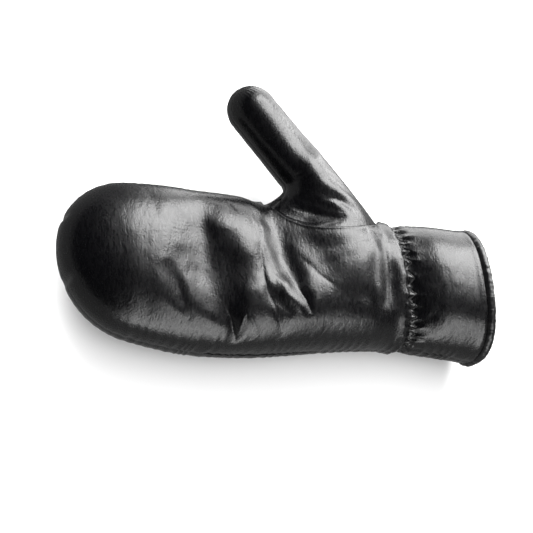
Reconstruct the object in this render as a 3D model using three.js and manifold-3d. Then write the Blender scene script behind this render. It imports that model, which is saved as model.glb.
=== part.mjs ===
// A right-hand dress mitten of black leather, lying on its back with the palm up.
// Millimetres, +X from the fingertips to the cuff, +Y to the thumb, +Z out of the palm.
// The origin is on the underside, where the back of the hand rests.
import * as THREE from 'three';
import { mergeVertices } from 'three/addons/utils/BufferGeometryUtils.js';
import Module from 'manifold-3d';

const wasm = await Module();
wasm.setup();

// Driving dimensions
const HAND_LENGTH = 209;
const HAND_WIDTH = 96;
const HAND_DEPTH = 56;
const WRIST_WIDTH = 77;
const WRIST_DEPTH = 50;
const CUFF_LENGTH = 48;
const CUFF_WIDTH = 84;
const CUFF_DEPTH = 56;
const THUMB_REACH = 86;
const THUMB_WIDTH = 30;
const THUMB_DEPTH = 28;
const WALL = 2.6;
const SEAM_GAP = 0.3;
const BINDING_ROLL = 6.5;
const BINDING_INSET = 2.3;
const GUSSET_LENGTH = 13;
const GUSSET_WIDTH = 9;
const GATHER_DEPTH = 1.2;
const GATHER_SPREAD = 11;
const GROOVE_DEPTH = 1.8;
const GROOVE_SPREAD = 3.7;

// Directions and shares of form
const ORIGIN_ALONG = 0.6;
const SECTION_POWER = 2.35;
const SHOULDER_POWER = 3;
const SHOULDER_ALONG = { start: 0.35, full: 0.60, fading: 0.86, gone: 1.00 };
const TIP_POWER = 2.1;
const TIP_ROUND = { toThumb: 0.19, toLittle: 0.20, depth: 0.20 };
const THUMB_ROOT = { along: 0.7925, across: 0.447, height: 0.61 };
const THUMB_AIM = 133.5;
const THUMB_RISE = 3;
const THUMB_SLANT = { side: 12, cuff: 44, crotch: 15 };
const THUMB_FLOW = 1;
const GATHER_COUNT = 26;
const FOLD_END = 0.35;
const PALM_FADE = 3;
const WALL_TURN = 0.6;
const GUSSET_REACH = 0.85;
const CUT_GAP = 1.5 * SEAM_GAP;

// Levels of the cutting body from outside the leather to inside, and the rise of its top
const CUTTER_LEVELS = [6, 0, -WALL, -9];
const CUTTER_RISE = 35;

// Steps for measuring slopes, in millimetres and radians, and the nearest that a slope is
// measured to the very tip
const LENGTH_STEP = 0.5;
const TURN_STEP = 0.0087;
const NEAR_TIP = 0.05;

// Mesh steps
const TIP_STEPS = 9;
const BODY_STEPS = 30;
const PALM_STEPS = 39;
const BACK_STEPS = 20;
const THUMB_BASE_STEPS = 5;
const THUMB_FREE_STEPS = 8;
const THUMB_AROUND_STEPS = 12;
const GUSSET_STEPS = 4;
const BINDING_AROUND_STEPS = 48;
const BINDING_ROLL_STEPS = 8;

// Lengths, widths and depths that the sections of each part of the mitten follow.
const PARTS = {
  hand: { start: -ORIGIN_ALONG * HAND_LENGTH, length: HAND_LENGTH, width: HAND_WIDTH, depth: HAND_DEPTH },
  wrist: { start: -ORIGIN_ALONG * HAND_LENGTH, length: HAND_LENGTH, width: WRIST_WIDTH, depth: WRIST_DEPTH },
  cuff: {
    start: (1 - ORIGIN_ALONG) * HAND_LENGTH, length: CUFF_LENGTH, width: CUFF_WIDTH, depth: CUFF_DEPTH,
  },
};

// A row for each section, from the fingertips to the end of the cuff. along is a share of the part's
// length. thumb and little are the reach to either side, as shares of its width. palm, back and
// height, that of the side seams over the surface it lies on, are shares of its depth. lean is how
// many degrees the section turns from square, its thumb side toward the fingertips.
const SECTIONS = [
  { part: 'hand', along: 0.00, thumb: 0.37, little: 0.42, palm: 0.40, back: 0.38, height: 0.66, lean: 0 },
  { part: 'hand', along: 0.07, thumb: 0.395, little: 0.47, palm: 0.43, back: 0.41, height: 0.60, lean: 0 },
  { part: 'hand', along: 0.17, thumb: 0.41, little: 0.505, palm: 0.48, back: 0.46, height: 0.54, lean: 0 },
  { part: 'hand', along: 0.29, thumb: 0.43, little: 0.545, palm: 0.52, back: 0.49, height: 0.50, lean: 0 },
  { part: 'hand', along: 0.40, thumb: 0.43, little: 0.56, palm: 0.53, back: 0.50, height: 0.47, lean: 0 },
  { part: 'hand', along: 0.53, thumb: 0.43, little: 0.55, palm: 0.53, back: 0.50, height: 0.46, lean: 0 },
  { part: 'hand', along: 0.65, thumb: 0.44, little: 0.52, palm: 0.53, back: 0.50, height: 0.46, lean: 0 },
  { part: 'hand', along: 0.77, thumb: 0.44, little: 0.48, palm: 0.51, back: 0.49, height: 0.46, lean: 2 },
  { part: 'hand', along: 0.88, thumb: 0.39, little: 0.45, palm: 0.47, back: 0.48, height: 0.46, lean: 4 },
  { part: 'wrist', along: 1.00, thumb: 0.46, little: 0.54, palm: 0.47, back: 0.52, height: 0.50, lean: 5 },
  { part: 'cuff', along: 0.45, thumb: 0.43, little: 0.51, palm: 0.48, back: 0.50, height: 0.49, lean: 5 },
  { part: 'cuff', along: 1.00, thumb: 0.43, little: 0.54, palm: 0.50, back: 0.51, height: 0.50, lean: 4 },
];

// Folds of the palm, from one end to the other: along as a share of the hand's length from the
// fingertips, across as a share of its width toward the thumb, width and depth in shares of its
// depth. A depth over nought is a ridge.
const FOLDS = [
  { along: 0.372, across: 0.246, toAlong: 0.390, toAcross: -0.102, width: 0.29, depth: -0.085 },
  { along: 0.390, across: -0.102, toAlong: 0.470, toAcross: -0.480, width: 0.24, depth: -0.070 },
  { along: 0.280, across: -0.167, toAlong: 0.336, toAcross: -0.398, width: 0.09, depth: -0.025 },
  { along: 0.554, across: 0.256, toAlong: 0.552, toAcross: -0.088, width: 0.05, depth: -0.035 },
  { along: 0.552, across: -0.088, toAlong: 0.601, toAcross: -0.463, width: 0.05, depth: -0.040 },
  { along: 0.625, across: 0.340, toAlong: 0.655, toAcross: -0.160, width: 0.34, depth: -0.070 },
  { along: 0.605, across: 0.225, toAlong: 0.679, toAcross: -0.323, width: 0.12, depth: -0.055 },
  { along: 0.586, across: -0.114, toAlong: 0.660, toAcross: -0.300, width: 0.05, depth: 0.040 },
  { along: 0.673, across: 0.201, toAlong: 0.753, toAcross: -0.061, width: 0.11, depth: -0.012 },
  { along: 0.850, across: 0.330, toAlong: 0.858, toAcross: -0.200, width: 0.34, depth: 0.070 },
  { along: 0.924, across: 0.110, toAlong: 0.932, toAcross: -0.194, width: 0.12, depth: -0.045 },
];

// The seam of the thumb round the side of the hand: along as a share of the hand's length, around
// in degrees from the side seam toward the palm. The first row is the corner nearest the cuff.
const THUMB_RING = [
  { along: 0.972, around: 0 },
  { along: 0.948, around: 26 },
  { along: 0.905, around: 44 },
  { along: 0.850, around: 55 },
  { along: 0.790, around: 61 },
  { along: 0.730, around: 61 },
  { along: 0.675, around: 55 },
  { along: 0.630, around: 42 },
  { along: 0.602, around: 14 },
  { along: 0.618, around: -20 },
  { along: 0.665, around: -38 },
  { along: 0.720, around: -44 },
  { along: 0.785, around: -46 },
  { along: 0.845, around: -42 },
  { along: 0.900, around: -32 },
  { along: 0.950, around: -16 },
];

// Sections of the thumb outside the hand, each a share of its reach, width and depth. aside moves
// the section toward the cuff, as a share of the width.
const THUMB_SECTIONS = [
  { reach: 0.30, wide: 1.02, deep: 1.12, aside: 0.01 },
  { reach: 0.50, wide: 1.00, deep: 1.03, aside: 0.00 },
  { reach: 0.75, wide: 1.00, deep: 1.00, aside: 0.00 },
  { reach: 1.00, wide: 0.98, deep: 0.96, aside: 0.00 },
];

const RADIAN = Math.PI / 180;
const clamp = (value, low, high) => Math.min(Math.max(value, low), high);
const between = (from, to, share) => from + (to - from) * share;
const ease = (share) => share * share * (3 - 2 * share);
const bell = (off) => Math.exp(-off * off);
const signedPower = (value, power) => Math.sign(value) * Math.abs(value) ** power;

// A smooth curve through the values at the knots, which rise.
function curveThrough(knots, values, at) {
  const last = knots.length - 1;
  let i = 0;
  while (i < last - 1 && at >= knots[i + 1]) i += 1;
  const slope = (k) => {
    const low = Math.max(k - 1, 0);
    const high = Math.min(k + 1, last);
    return (values[high] - values[low]) / (knots[high] - knots[low]);
  };
  const span = knots[i + 1] - knots[i];
  const t = clamp((at - knots[i]) / span, 0, 1);
  const rise = ease(t);
  const leave = t * (1 - t) * (1 - t) * span * slope(i);
  const arrive = t * t * (t - 1) * span * slope(i + 1);
  return between(values[i], values[i + 1], rise) + leave + arrive;
}

// The hand's and the cuff's sections in millimetres.
const sections = SECTIONS.map((row) => {
  const part = PARTS[row.part];
  return {
    x: part.start + row.along * part.length,
    middle: (row.thumb - row.little) / 2 * part.width,
    half: (row.thumb + row.little) / 2 * part.width,
    palm: row.palm * part.depth,
    back: row.back * part.depth,
    height: row.height * part.depth,
    lean: Math.tan(row.lean * RADIAN),
  };
});
const sectionKnots = sections.map((row) => row.x);
const sectionValues = (name) => sections.map((row) => row[name]);
const sectionSizes = {
  middle: sectionValues('middle'),
  half: sectionValues('half'),
  palm: sectionValues('palm'),
  back: sectionValues('back'),
  height: sectionValues('height'),
  lean: sectionValues('lean'),
};
const sizeAt = (name, x) => curveThrough(sectionKnots, sectionSizes[name], x);

const TIP_X = PARTS.hand.start;
const WRIST_X = PARTS.cuff.start;
const CUFF_X = PARTS.cuff.start + CUFF_LENGTH;
const handX = (along) => TIP_X + along * HAND_LENGTH;

// How far the outline has opened at x, from nought at the fingertips to one.
function opening(x, share) {
  const short = clamp(1 - (x - TIP_X) / (share * HAND_LENGTH), 0, 1);
  return (1 - short ** TIP_POWER) ** (1 / TIP_POWER);
}

// How square a section is at x. The palm's shoulder over the little-finger side is squarer than the
// rest along the hand, and fades back to it at the wrist.
function sectionPower(x, onShoulder) {
  if (!onShoulder) return SECTION_POWER;
  const shareOf = (from, to) => ease(clamp((x - handX(from)) / (handX(to) - handX(from)), 0, 1));
  const rising = shareOf(SHOULDER_ALONG.start, SHOULDER_ALONG.full);
  const falling = shareOf(SHOULDER_ALONG.fading, SHOULDER_ALONG.gone);
  return between(SECTION_POWER, SHOULDER_POWER, rising * (1 - falling));
}

// The smooth form of hand and cuff. angle runs from the thumb-side seam over the palm.
function handForm(x, angle) {
  const c = Math.cos(angle);
  const s = Math.sin(angle);
  const power = sectionPower(x, c < 0 && s > 0);
  const side = c > 0 ? opening(x, TIP_ROUND.toThumb) : opening(x, TIP_ROUND.toLittle);
  const depth = (s > 0 ? sizeAt('palm', x) : sizeAt('back', x)) * opening(x, TIP_ROUND.depth);
  const across = sizeAt('half', x) * side * signedPower(c, 2 / power);
  const z = sizeAt('height', x) + depth * signedPower(s, 2 / power);
  return new THREE.Vector3(x - sizeAt('lean', x) * across, sizeAt('middle', x) + across, Math.max(z, 0));
}

// The outward direction of the form at x and angle, level along the side seams.
function handNormal(x, angle) {
  if (x - TIP_X < NEAR_TIP) return new THREE.Vector3(-1, 0, 0);
  const onSeam = Math.abs(Math.sin(angle)) < TURN_STEP;
  const low = handForm(x - Math.min(LENGTH_STEP, (x - TIP_X) / 2), angle);
  const lengthwise = handForm(x + LENGTH_STEP, angle).sub(low);
  const round = onSeam
    ? new THREE.Vector3(0, 0, Math.sign(Math.cos(angle)))
    : handForm(x, angle + TURN_STEP).sub(handForm(x, angle - TURN_STEP));
  const normal = round.cross(lengthwise);
  if (onSeam) normal.z = 0;
  if (handForm(x, angle).z <= 0 || normal.lengthSq() === 0) return new THREE.Vector3(0, 0, -1);
  return normal.normalize();
}

// Height of the folds over the smooth palm at a point of its plan.
function foldHeight(x, y) {
  let height = 0;
  for (const fold of FOLDS) {
    const start = new THREE.Vector2(handX(fold.along), fold.across * HAND_WIDTH);
    const path = new THREE.Vector2(handX(fold.toAlong), fold.toAcross * HAND_WIDTH).sub(start);
    const from = new THREE.Vector2(x, y).sub(start);
    const share = clamp(from.dot(path) / path.lengthSq(), 0, 1);
    const off = from.sub(path.multiplyScalar(share)).length() / (fold.width * HAND_DEPTH);
    height += fold.depth * HAND_DEPTH * between(FOLD_END, 1, Math.sin(Math.PI * share)) * bell(off);
  }
  return height;
}

// The elastic's groove round the wrist, with the leather's gathers on both sides of it.
function gatherHeight(x, angle) {
  const gathers = GATHER_DEPTH * bell((x - WRIST_X) / GATHER_SPREAD);
  const groove = GROOVE_DEPTH * bell((x - WRIST_X) / GROOVE_SPREAD);
  return gathers * Math.cos(GATHER_COUNT * angle) - groove;
}

// How far the outer surface stands over the smooth form.
function relief(x, angle) {
  const palmward = clamp(Math.sin(angle) * PALM_FADE, 0, 1);
  const form = handForm(x, angle);
  const folds = palmward > 0 ? foldHeight(form.x, form.y) * palmward : 0;
  return folds + gatherHeight(x, angle);
}

function handOuter(x, angle) {
  const point = handForm(x, angle).addScaledVector(handNormal(x, angle), relief(x, angle));
  point.z = Math.max(point.z, 0);
  return point;
}

function handInner(x, angle) {
  const point = handForm(x, angle).addScaledVector(handNormal(x, angle), relief(x, angle) - WALL);
  point.z = Math.max(point.z, WALL);
  return point;
}

// A closed wall between two grids of points, whose sides that face each other are left as rims.
// A row or column whose points coincide closes the wall there.
function wallMesh(outer, inner) {
  const rows = outer.length;
  const columns = outer[0].length;
  const positions = [];
  const triangle = (a, b, c) => {
    const flat = (p, q) => p.distanceToSquared(q) < 1e-8;
    if (flat(a, b) || flat(b, c) || flat(c, a)) return;
    for (const p of [a, b, c]) positions.push(p.x, p.y, p.z);
  };
  const quad = (a, b, c, d) => {
    triangle(a, b, c);
    triangle(a, c, d);
  };
  for (let i = 0; i < rows - 1; i += 1) {
    for (let j = 0; j < columns - 1; j += 1) {
      quad(outer[i][j], outer[i][j + 1], outer[i + 1][j + 1], outer[i + 1][j]);
      quad(inner[i][j], inner[i + 1][j], inner[i + 1][j + 1], inner[i][j + 1]);
    }
  }
  for (let i = 0; i < rows - 1; i += 1) {
    const end = columns - 1;
    quad(inner[i][0], outer[i][0], outer[i + 1][0], inner[i + 1][0]);
    quad(outer[i][end], inner[i][end], inner[i + 1][end], outer[i + 1][end]);
  }
  for (let j = 0; j < columns - 1; j += 1) {
    const end = rows - 1;
    quad(outer[0][j], inner[0][j], inner[0][j + 1], outer[0][j + 1]);
    quad(inner[end][j], outer[end][j], outer[end][j + 1], inner[end][j + 1]);
  }
  return closedGeometry(positions);
}

function closedGeometry(positions) {
  const geometry = new THREE.BufferGeometry();
  geometry.setAttribute('position', new THREE.Float32BufferAttribute(positions, 3));
  return mergeVertices(geometry, 1e-4);
}

// Places of the rows along the mitten, close together where the fingertips round off.
function rowPlaces() {
  const tipEnd = TIP_ROUND.toLittle * HAND_LENGTH;
  const places = [];
  for (let i = 0; i < TIP_STEPS; i += 1) {
    places.push(TIP_X + tipEnd * (1 - Math.cos(i / TIP_STEPS * Math.PI / 2)));
  }
  for (let i = 0; i <= BODY_STEPS; i += 1) {
    places.push(between(TIP_X + tipEnd, CUFF_X, i / BODY_STEPS));
  }
  return places;
}

// One of the two large panels, between two angles, moved apart from the other by the seam's gap.
function panelMesh(fromAngle, toAngle, steps, shift) {
  const angles = Array.from({ length: steps + 1 }, (_, j) => between(fromAngle, toAngle, j / steps));
  const grid = (surface) => rowPlaces().map((x) => angles.map((angle) => {
    const point = surface(x, angle);
    point.z += shift;
    return point;
  }));
  return wallMesh(grid(handOuter), grid(handInner));
}

// A point of the thumb's seam on the hand, with share running once round from the cuff's corner.
function ringPlace(share) {
  const count = THUMB_RING.length;
  const row = (k) => THUMB_RING[(k + count) % count];
  const first = Math.floor(share * count);
  const t = share * count - first;
  const blend = (name) => {
    const [a, b, c, d] = [-1, 0, 1, 2].map((k) => row(first + k)[name]);
    const bend = (2 * a - 5 * b + 4 * c - d) * t * t + (3 * b - a - 3 * c + d) * t * t * t;
    return b + ((c - a) * t + bend) / 2;
  };
  return { x: handX(blend('along')), angle: blend('around') * RADIAN };
}

const ringPoint = (share) => {
  const place = ringPlace(share);
  return handOuter(place.x, place.angle);
};
const ringNormal = (share) => {
  const place = ringPlace(share);
  return handNormal(place.x, place.angle);
};
const middleOf = (points) => points.reduce((sum, point) => sum.add(point), new THREE.Vector3())
  .multiplyScalar(1 / points.length);
const ringCentre = middleOf(THUMB_RING.map((_, k) => ringPoint(k / THUMB_RING.length)));

// The thumb's axis, and the directions across it toward the cuff and toward the palm.
const thumbAxis = new THREE.Vector3(
  Math.cos(THUMB_AIM * RADIAN) * Math.cos(THUMB_RISE * RADIAN),
  Math.sin(THUMB_AIM * RADIAN) * Math.cos(THUMB_RISE * RADIAN),
  Math.sin(THUMB_RISE * RADIAN),
);
const thumbSide = new THREE.Vector3().crossVectors(thumbAxis, new THREE.Vector3(0, 0, 1)).normalize();
const thumbUp = new THREE.Vector3().crossVectors(thumbSide, thumbAxis);

const THUMB_START = THUMB_SECTIONS[0].reach;
const thumbKnots = THUMB_SECTIONS.map((row) => row.reach);
const thumbSize = (name, reach) => curveThrough(thumbKnots, THUMB_SECTIONS.map((row) => row[name]), reach);

const thumbRoot = new THREE.Vector3(
  handX(THUMB_ROOT.along),
  THUMB_ROOT.across * HAND_WIDTH,
  THUMB_ROOT.height * HAND_DEPTH,
);

// The thumb's form outside the hand, from its first section to the tip.
function thumbFree(reach, turn) {
  const closing = clamp(1 - (1 - reach) * THUMB_REACH / (THUMB_WIDTH / 2), 0, 1);
  const open = Math.sqrt(1 - closing * closing);
  const side = Math.cos(turn) * thumbSize('wide', reach) * THUMB_WIDTH / 2 * open;
  const up = Math.sin(turn) * thumbSize('deep', reach) * THUMB_DEPTH / 2 * open;
  return thumbRoot.clone()
    .addScaledVector(thumbAxis, reach * THUMB_REACH)
    .addScaledVector(thumbSide, side + thumbSize('aside', reach) * THUMB_WIDTH)
    .addScaledVector(thumbUp, up);
}

// The thumb's form between its seam on the hand and its first free section.
function thumbBase(share, turn) {
  const round = turn / (2 * Math.PI);
  const start = ringPoint(round);
  const normal = ringNormal(round);
  const end = thumbFree(THUMB_START, turn);
  const inward = ringCentre.clone().sub(start);
  inward.addScaledVector(normal, -inward.dot(normal)).normalize();
  const corner = Math.cos(turn) > 0 ? THUMB_SLANT.cuff : THUMB_SLANT.crotch;
  const slant = between(THUMB_SLANT.side, corner, Math.cos(turn) ** 2) * RADIAN;
  const gap = start.distanceTo(end);
  const leave = inward.multiplyScalar(Math.cos(slant)).addScaledVector(normal, Math.sin(slant));
  const arrive = thumbAxis.clone().multiplyScalar(gap * THUMB_FLOW);
  leave.multiplyScalar(gap * THUMB_FLOW);
  const t = share;
  return start.multiplyScalar(1 - ease(t)).addScaledVector(end, ease(t))
    .addScaledVector(leave, t * (1 - t) * (1 - t))
    .addScaledVector(arrive, t * t * (t - 1));
}

// The thumb's form, with place from nought at its seam through one at its first free section to two.
function thumbForm(place, turn) {
  if (place < 1) return thumbBase(place, turn);
  return thumbFree(between(THUMB_START, 1, place - 1), turn);
}

function thumbNormal(place, turn) {
  if (place >= 2) return thumbAxis.clone();
  const before = thumbForm(Math.max(place - TURN_STEP, 0), turn);
  const after = thumbForm(Math.min(place + TURN_STEP, 2), turn);
  const round = thumbForm(place, turn + TURN_STEP).sub(thumbForm(place, turn - TURN_STEP));
  return round.cross(after.sub(before)).negate().normalize();
}

// The direction through the thumb's wall, square to the hand along the seam.
function thumbWallDirection(place, turn) {
  const share = ease(clamp(place / WALL_TURN, 0, 1));
  const hand = ringNormal(turn / (2 * Math.PI));
  return hand.multiplyScalar(1 - share).addScaledVector(thumbNormal(place, turn), share).normalize();
}

// Rows of the thumb from its seam to its tip, closer where the tip rounds off.
function thumbPlaces() {
  const places = [];
  for (let i = 0; i < THUMB_BASE_STEPS; i += 1) places.push(i / THUMB_BASE_STEPS);
  for (let i = 0; i <= THUMB_FREE_STEPS; i += 1) {
    places.push(1 + Math.sin(i / THUMB_FREE_STEPS * Math.PI / 2));
  }
  return places;
}

// Half the gusset's spread in radians at a place of the thumb.
function gussetSpread(place) {
  const base = GUSSET_WIDTH / THUMB_WIDTH;
  return base * clamp(1 - place / gussetEnd, 0, 1);
}
const gussetEnd = GUSSET_LENGTH / (THUMB_START * THUMB_REACH);

// A piece of the thumb's wall between two turns at each of its places, the first the larger, moved
// clear of its neighbour across the seam.
function thumbPiece(places, fromTurn, toTurn, steps, shift) {
  const move = thumbUp.clone().multiplyScalar(shift);
  const outer = [];
  const inner = [];
  for (const place of places) {
    const turns = Array.from({ length: steps + 1 }, (_, j) => (
      between(fromTurn(place), toTurn(place), j / steps)));
    const points = turns.map((turn) => thumbForm(place, turn).add(move));
    const walls = turns.map((turn) => thumbWallDirection(place, turn).multiplyScalar(-WALL));
    outer.push(points);
    inner.push(points.map((point, j) => point.clone().add(walls[j])));
  }
  return wallMesh(outer, inner);
}

// The room in radians between the gusset's edge and the thumb's.
const gussetClearance = (place) => (place < gussetEnd ? 2 * SEAM_GAP / THUMB_WIDTH : 0);

// Where the two leaves of the thumb stop on either side of its crotch.
const frontEdge = (place) => Math.PI - gussetSpread(place) - gussetClearance(place);
const backEdge = (place) => Math.PI + gussetSpread(place) + gussetClearance(place);
const gussetLow = (place) => Math.PI - gussetSpread(place) + gussetClearance(place);
const gussetHigh = (place) => Math.PI + gussetSpread(place) - gussetClearance(place);

function thumbFront() {
  return thumbPiece(thumbPlaces(), frontEdge, () => 0, THUMB_AROUND_STEPS, SEAM_GAP);
}

function thumbBack() {
  return thumbPiece(thumbPlaces(), () => 2 * Math.PI, backEdge, THUMB_AROUND_STEPS, 0);
}

// Corners of the thumb's seam on the hand, where the leaves of the thumb have theirs.
function seamTurns() {
  const front = Array.from({ length: THUMB_AROUND_STEPS }, (_, k) => frontEdge(0) * k / THUMB_AROUND_STEPS);
  const back = front.map((turn) => 2 * Math.PI - turn).reverse();
  const gusset = Array.from({ length: GUSSET_STEPS + 1 }, (_, k) => (
    between(gussetLow(0), gussetHigh(0), k / GUSSET_STEPS)));
  return [...front, frontEdge(0), ...gusset, backEdge(0), ...back.slice(0, -1)];
}

// The small diamond of leather let into the thumb's crotch.
function thumbGusset() {
  const places = Array.from({ length: GUSSET_STEPS + 1 }, (_, i) => (
    GUSSET_REACH * gussetEnd * i / GUSSET_STEPS));
  return thumbPiece(places, gussetHigh, gussetLow, GUSSET_STEPS, SEAM_GAP / 2);
}

// The rolled binding sewn round the mouth of the cuff.
function cuffBinding() {
  const radius = BINDING_ROLL / 2;
  const x = CUFF_X + radius + SEAM_GAP;
  const positions = [];
  const point = (j, i) => {
    const angle = j / BINDING_AROUND_STEPS * 2 * Math.PI;
    const roll = i / BINDING_ROLL_STEPS * 2 * Math.PI;
    const normal = handNormal(CUFF_X, angle);
    normal.x = 0;
    const centre = handForm(CUFF_X, angle).addScaledVector(normal.normalize(), -BINDING_INSET);
    centre.x += x - CUFF_X;
    centre.addScaledVector(normal, radius * Math.cos(roll));
    centre.x -= radius * Math.sin(roll);
    centre.z = Math.max(centre.z, 0);
    return centre;
  };
  for (let j = 0; j < BINDING_AROUND_STEPS; j += 1) {
    for (let i = 0; i < BINDING_ROLL_STEPS; i += 1) {
      const [a, b, c, d] = [point(j, i), point(j, i + 1), point(j + 1, i + 1), point(j + 1, i)];
      for (const p of [a, b, c, a, c, d]) positions.push(p.x, p.y, p.z);
    }
  }
  return closedGeometry(positions);
}

// A closed body round the thumb's opening, to cut the panels with.
function thumbCutter() {
  const rings = CUTTER_LEVELS.map((level) => seamTurns().map((turn) => {
    const start = ringPoint(turn / (2 * Math.PI));
    const normal = ringNormal(turn / (2 * Math.PI));
    const away = start.clone().sub(ringCentre);
    away.addScaledVector(normal, -away.dot(normal)).normalize();
    return start.addScaledVector(away, CUT_GAP).addScaledVector(normal, level);
  }));
  const positions = [];
  const triangle = (a, b, c) => {
    for (const p of [a, b, c]) positions.push(p.x, p.y, p.z);
  };
  const top = ringCentre.clone().add(new THREE.Vector3(0, CUTTER_RISE, 0));
  const bottom = middleOf(rings.at(-1));
  for (let k = 0; k < rings[0].length; k += 1) {
    const next = (k + 1) % rings[0].length;
    triangle(rings[0][k], top, rings[0][next]);
    triangle(rings.at(-1)[next], bottom, rings.at(-1)[k]);
    for (let level = 0; level < rings.length - 1; level += 1) {
      const [above, below] = [rings[level], rings[level + 1]];
      triangle(above[k], above[next], below[k]);
      triangle(above[next], below[next], below[k]);
    }
  }
  return closedGeometry(positions);
}

function solidOf(geometry) {
  const vertProperties = geometry.getAttribute('position').array;
  const triVerts = new Uint32Array(geometry.getIndex().array);
  return new wasm.Manifold(new wasm.Mesh({ numProp: 3, vertProperties, triVerts }));
}

function geometryOf(solid) {
  const mesh = solid.getMesh();
  const geometry = new THREE.BufferGeometry();
  geometry.setAttribute('position', new THREE.Float32BufferAttribute(mesh.vertProperties, 3));
  geometry.setIndex(new THREE.Uint32BufferAttribute(mesh.triVerts, 1));
  return geometry;
}

const cut = (geometry, cutter) => geometryOf(solidOf(geometry).subtract(solidOf(cutter)));

const leather = new THREE.MeshStandardMaterial({ color: 0x141414, roughness: 0.38, metalness: 0 });
const bindingLeather = new THREE.MeshStandardMaterial({ color: 0x101010, roughness: 0.32, metalness: 0 });

const group = new THREE.Group();
function addPiece(name, geometry, material) {
  const mesh = new THREE.Mesh(geometry, material);
  mesh.name = name;
  group.add(mesh);
}

const cutter = thumbCutter();
addPiece('palm_panel', cut(panelMesh(0, Math.PI, PALM_STEPS, SEAM_GAP), cutter), leather);
addPiece('back_panel', cut(panelMesh(Math.PI, 2 * Math.PI, BACK_STEPS, 0), cutter), leather);
addPiece('thumb_front', thumbFront(), leather);
addPiece('thumb_back', thumbBack(), leather);
addPiece('thumb_gusset', thumbGusset(), leather);
addPiece('cuff_binding', cuffBinding(), bindingLeather);

export default group;
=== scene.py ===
"""A right-hand dress mitten of black nappa leather, lying on its back with the palm up.

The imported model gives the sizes. Lengths here are millimetres until a mesh is made from them:
+X runs from the fingertips to the cuff, +Y to the thumb and +Z out of the palm.
"""

import logging
import math
from dataclasses import dataclass
from enum import Enum

import bpy
import numpy as np
from mathutils import Matrix, Vector


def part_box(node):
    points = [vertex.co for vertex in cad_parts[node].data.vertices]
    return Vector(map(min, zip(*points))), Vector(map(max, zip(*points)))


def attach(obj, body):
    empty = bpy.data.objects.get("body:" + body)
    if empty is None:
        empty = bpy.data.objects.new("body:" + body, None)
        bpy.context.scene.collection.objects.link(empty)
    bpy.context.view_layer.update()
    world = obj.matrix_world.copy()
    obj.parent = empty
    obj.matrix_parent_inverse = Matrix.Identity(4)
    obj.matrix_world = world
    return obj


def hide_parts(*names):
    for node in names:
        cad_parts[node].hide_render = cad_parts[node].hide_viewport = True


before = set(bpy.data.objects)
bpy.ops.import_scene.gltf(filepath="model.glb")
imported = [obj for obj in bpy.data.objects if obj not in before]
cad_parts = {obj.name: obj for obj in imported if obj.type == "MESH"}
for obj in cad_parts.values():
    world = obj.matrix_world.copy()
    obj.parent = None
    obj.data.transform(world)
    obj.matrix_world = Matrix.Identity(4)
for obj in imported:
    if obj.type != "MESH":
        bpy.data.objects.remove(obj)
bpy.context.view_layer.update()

METRES = 0.001
TINY = 1e-9
ROOT_BODY = "root"
Array = np.ndarray
Value = float | np.ndarray
log = logging.getLogger("mitten")


# Small helpers

class Seed(Enum):
    """What the random heights of each piece are drawn from."""

    PALM_FOLDS = 7
    HAND = 11
    THUMB = 23
    THUMB_FOLDS = 29
    BINDING = 31


def between(start: Value, end: Value, share: Value) -> Value:
    """Returns the value that lies a share of the way from start to end."""
    return start + (end - start) * share


def ease(share: Array) -> Array:
    """Returns a share from nought to one that starts and ends level."""
    return share * share * (3.0 - 2.0 * share)


def eased(value: Array) -> Array:
    """Returns a value held between nought and one, and eased."""
    return ease(np.clip(value, 0.0, 1.0))


def bell(off: Array) -> Array:
    """Returns a bell curve, one in the middle and near nought two widths away."""
    return np.exp(-off * off)


def falling(off: Array) -> Array:
    """Returns a share that falls from one to nought, and is a half where off is nought."""
    return 1.0 / (1.0 + np.exp(off))


def sharpened(height: Array) -> Array:
    """Returns a height as ridges, sharp where it was nought and with round valleys between."""
    return 1.0 - 2.0 * np.abs(height)


def signed_power(value: Array, power: float) -> Array:
    """Returns a power of the value that keeps its sign."""
    return np.sign(value) * np.abs(value) ** power


def unit(vectors: Array) -> Array:
    """Returns the vectors at a length of one."""
    return vectors / np.maximum(np.linalg.norm(vectors, axis=-1, keepdims=True), TINY)


def dot(first: Array, second: Array) -> Array:
    """Returns the dot products of two fields of vectors, with the last axis kept."""
    return np.sum(first * second, axis=-1, keepdims=True)


def curve_through(knots: Array, values: Array, at: Array) -> Array:
    """Reads a smooth curve through values at rising knots.

    Args:
        knots: Where the values are.
        values: The values there.
        at: Where to read the curve.

    Returns:
        The curve's values.
    """
    slopes = np.empty(len(knots))
    slopes[1:-1] = (values[2:] - values[:-2]) / (knots[2:] - knots[:-2])
    slopes[0] = (values[1] - values[0]) / (knots[1] - knots[0])
    slopes[-1] = (values[-1] - values[-2]) / (knots[-1] - knots[-2])
    i = np.clip(np.searchsorted(knots, at, side="right") - 1, 0, len(knots) - 2)
    span = knots[i + 1] - knots[i]
    t = np.clip((at - knots[i]) / span, 0.0, 1.0)
    leave = t * (1 - t) ** 2 * span * slopes[i]
    arrive = t * t * (t - 1) * span * slopes[i + 1]
    return values[i] + (values[i + 1] - values[i]) * ease(t) + leave + arrive


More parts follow.
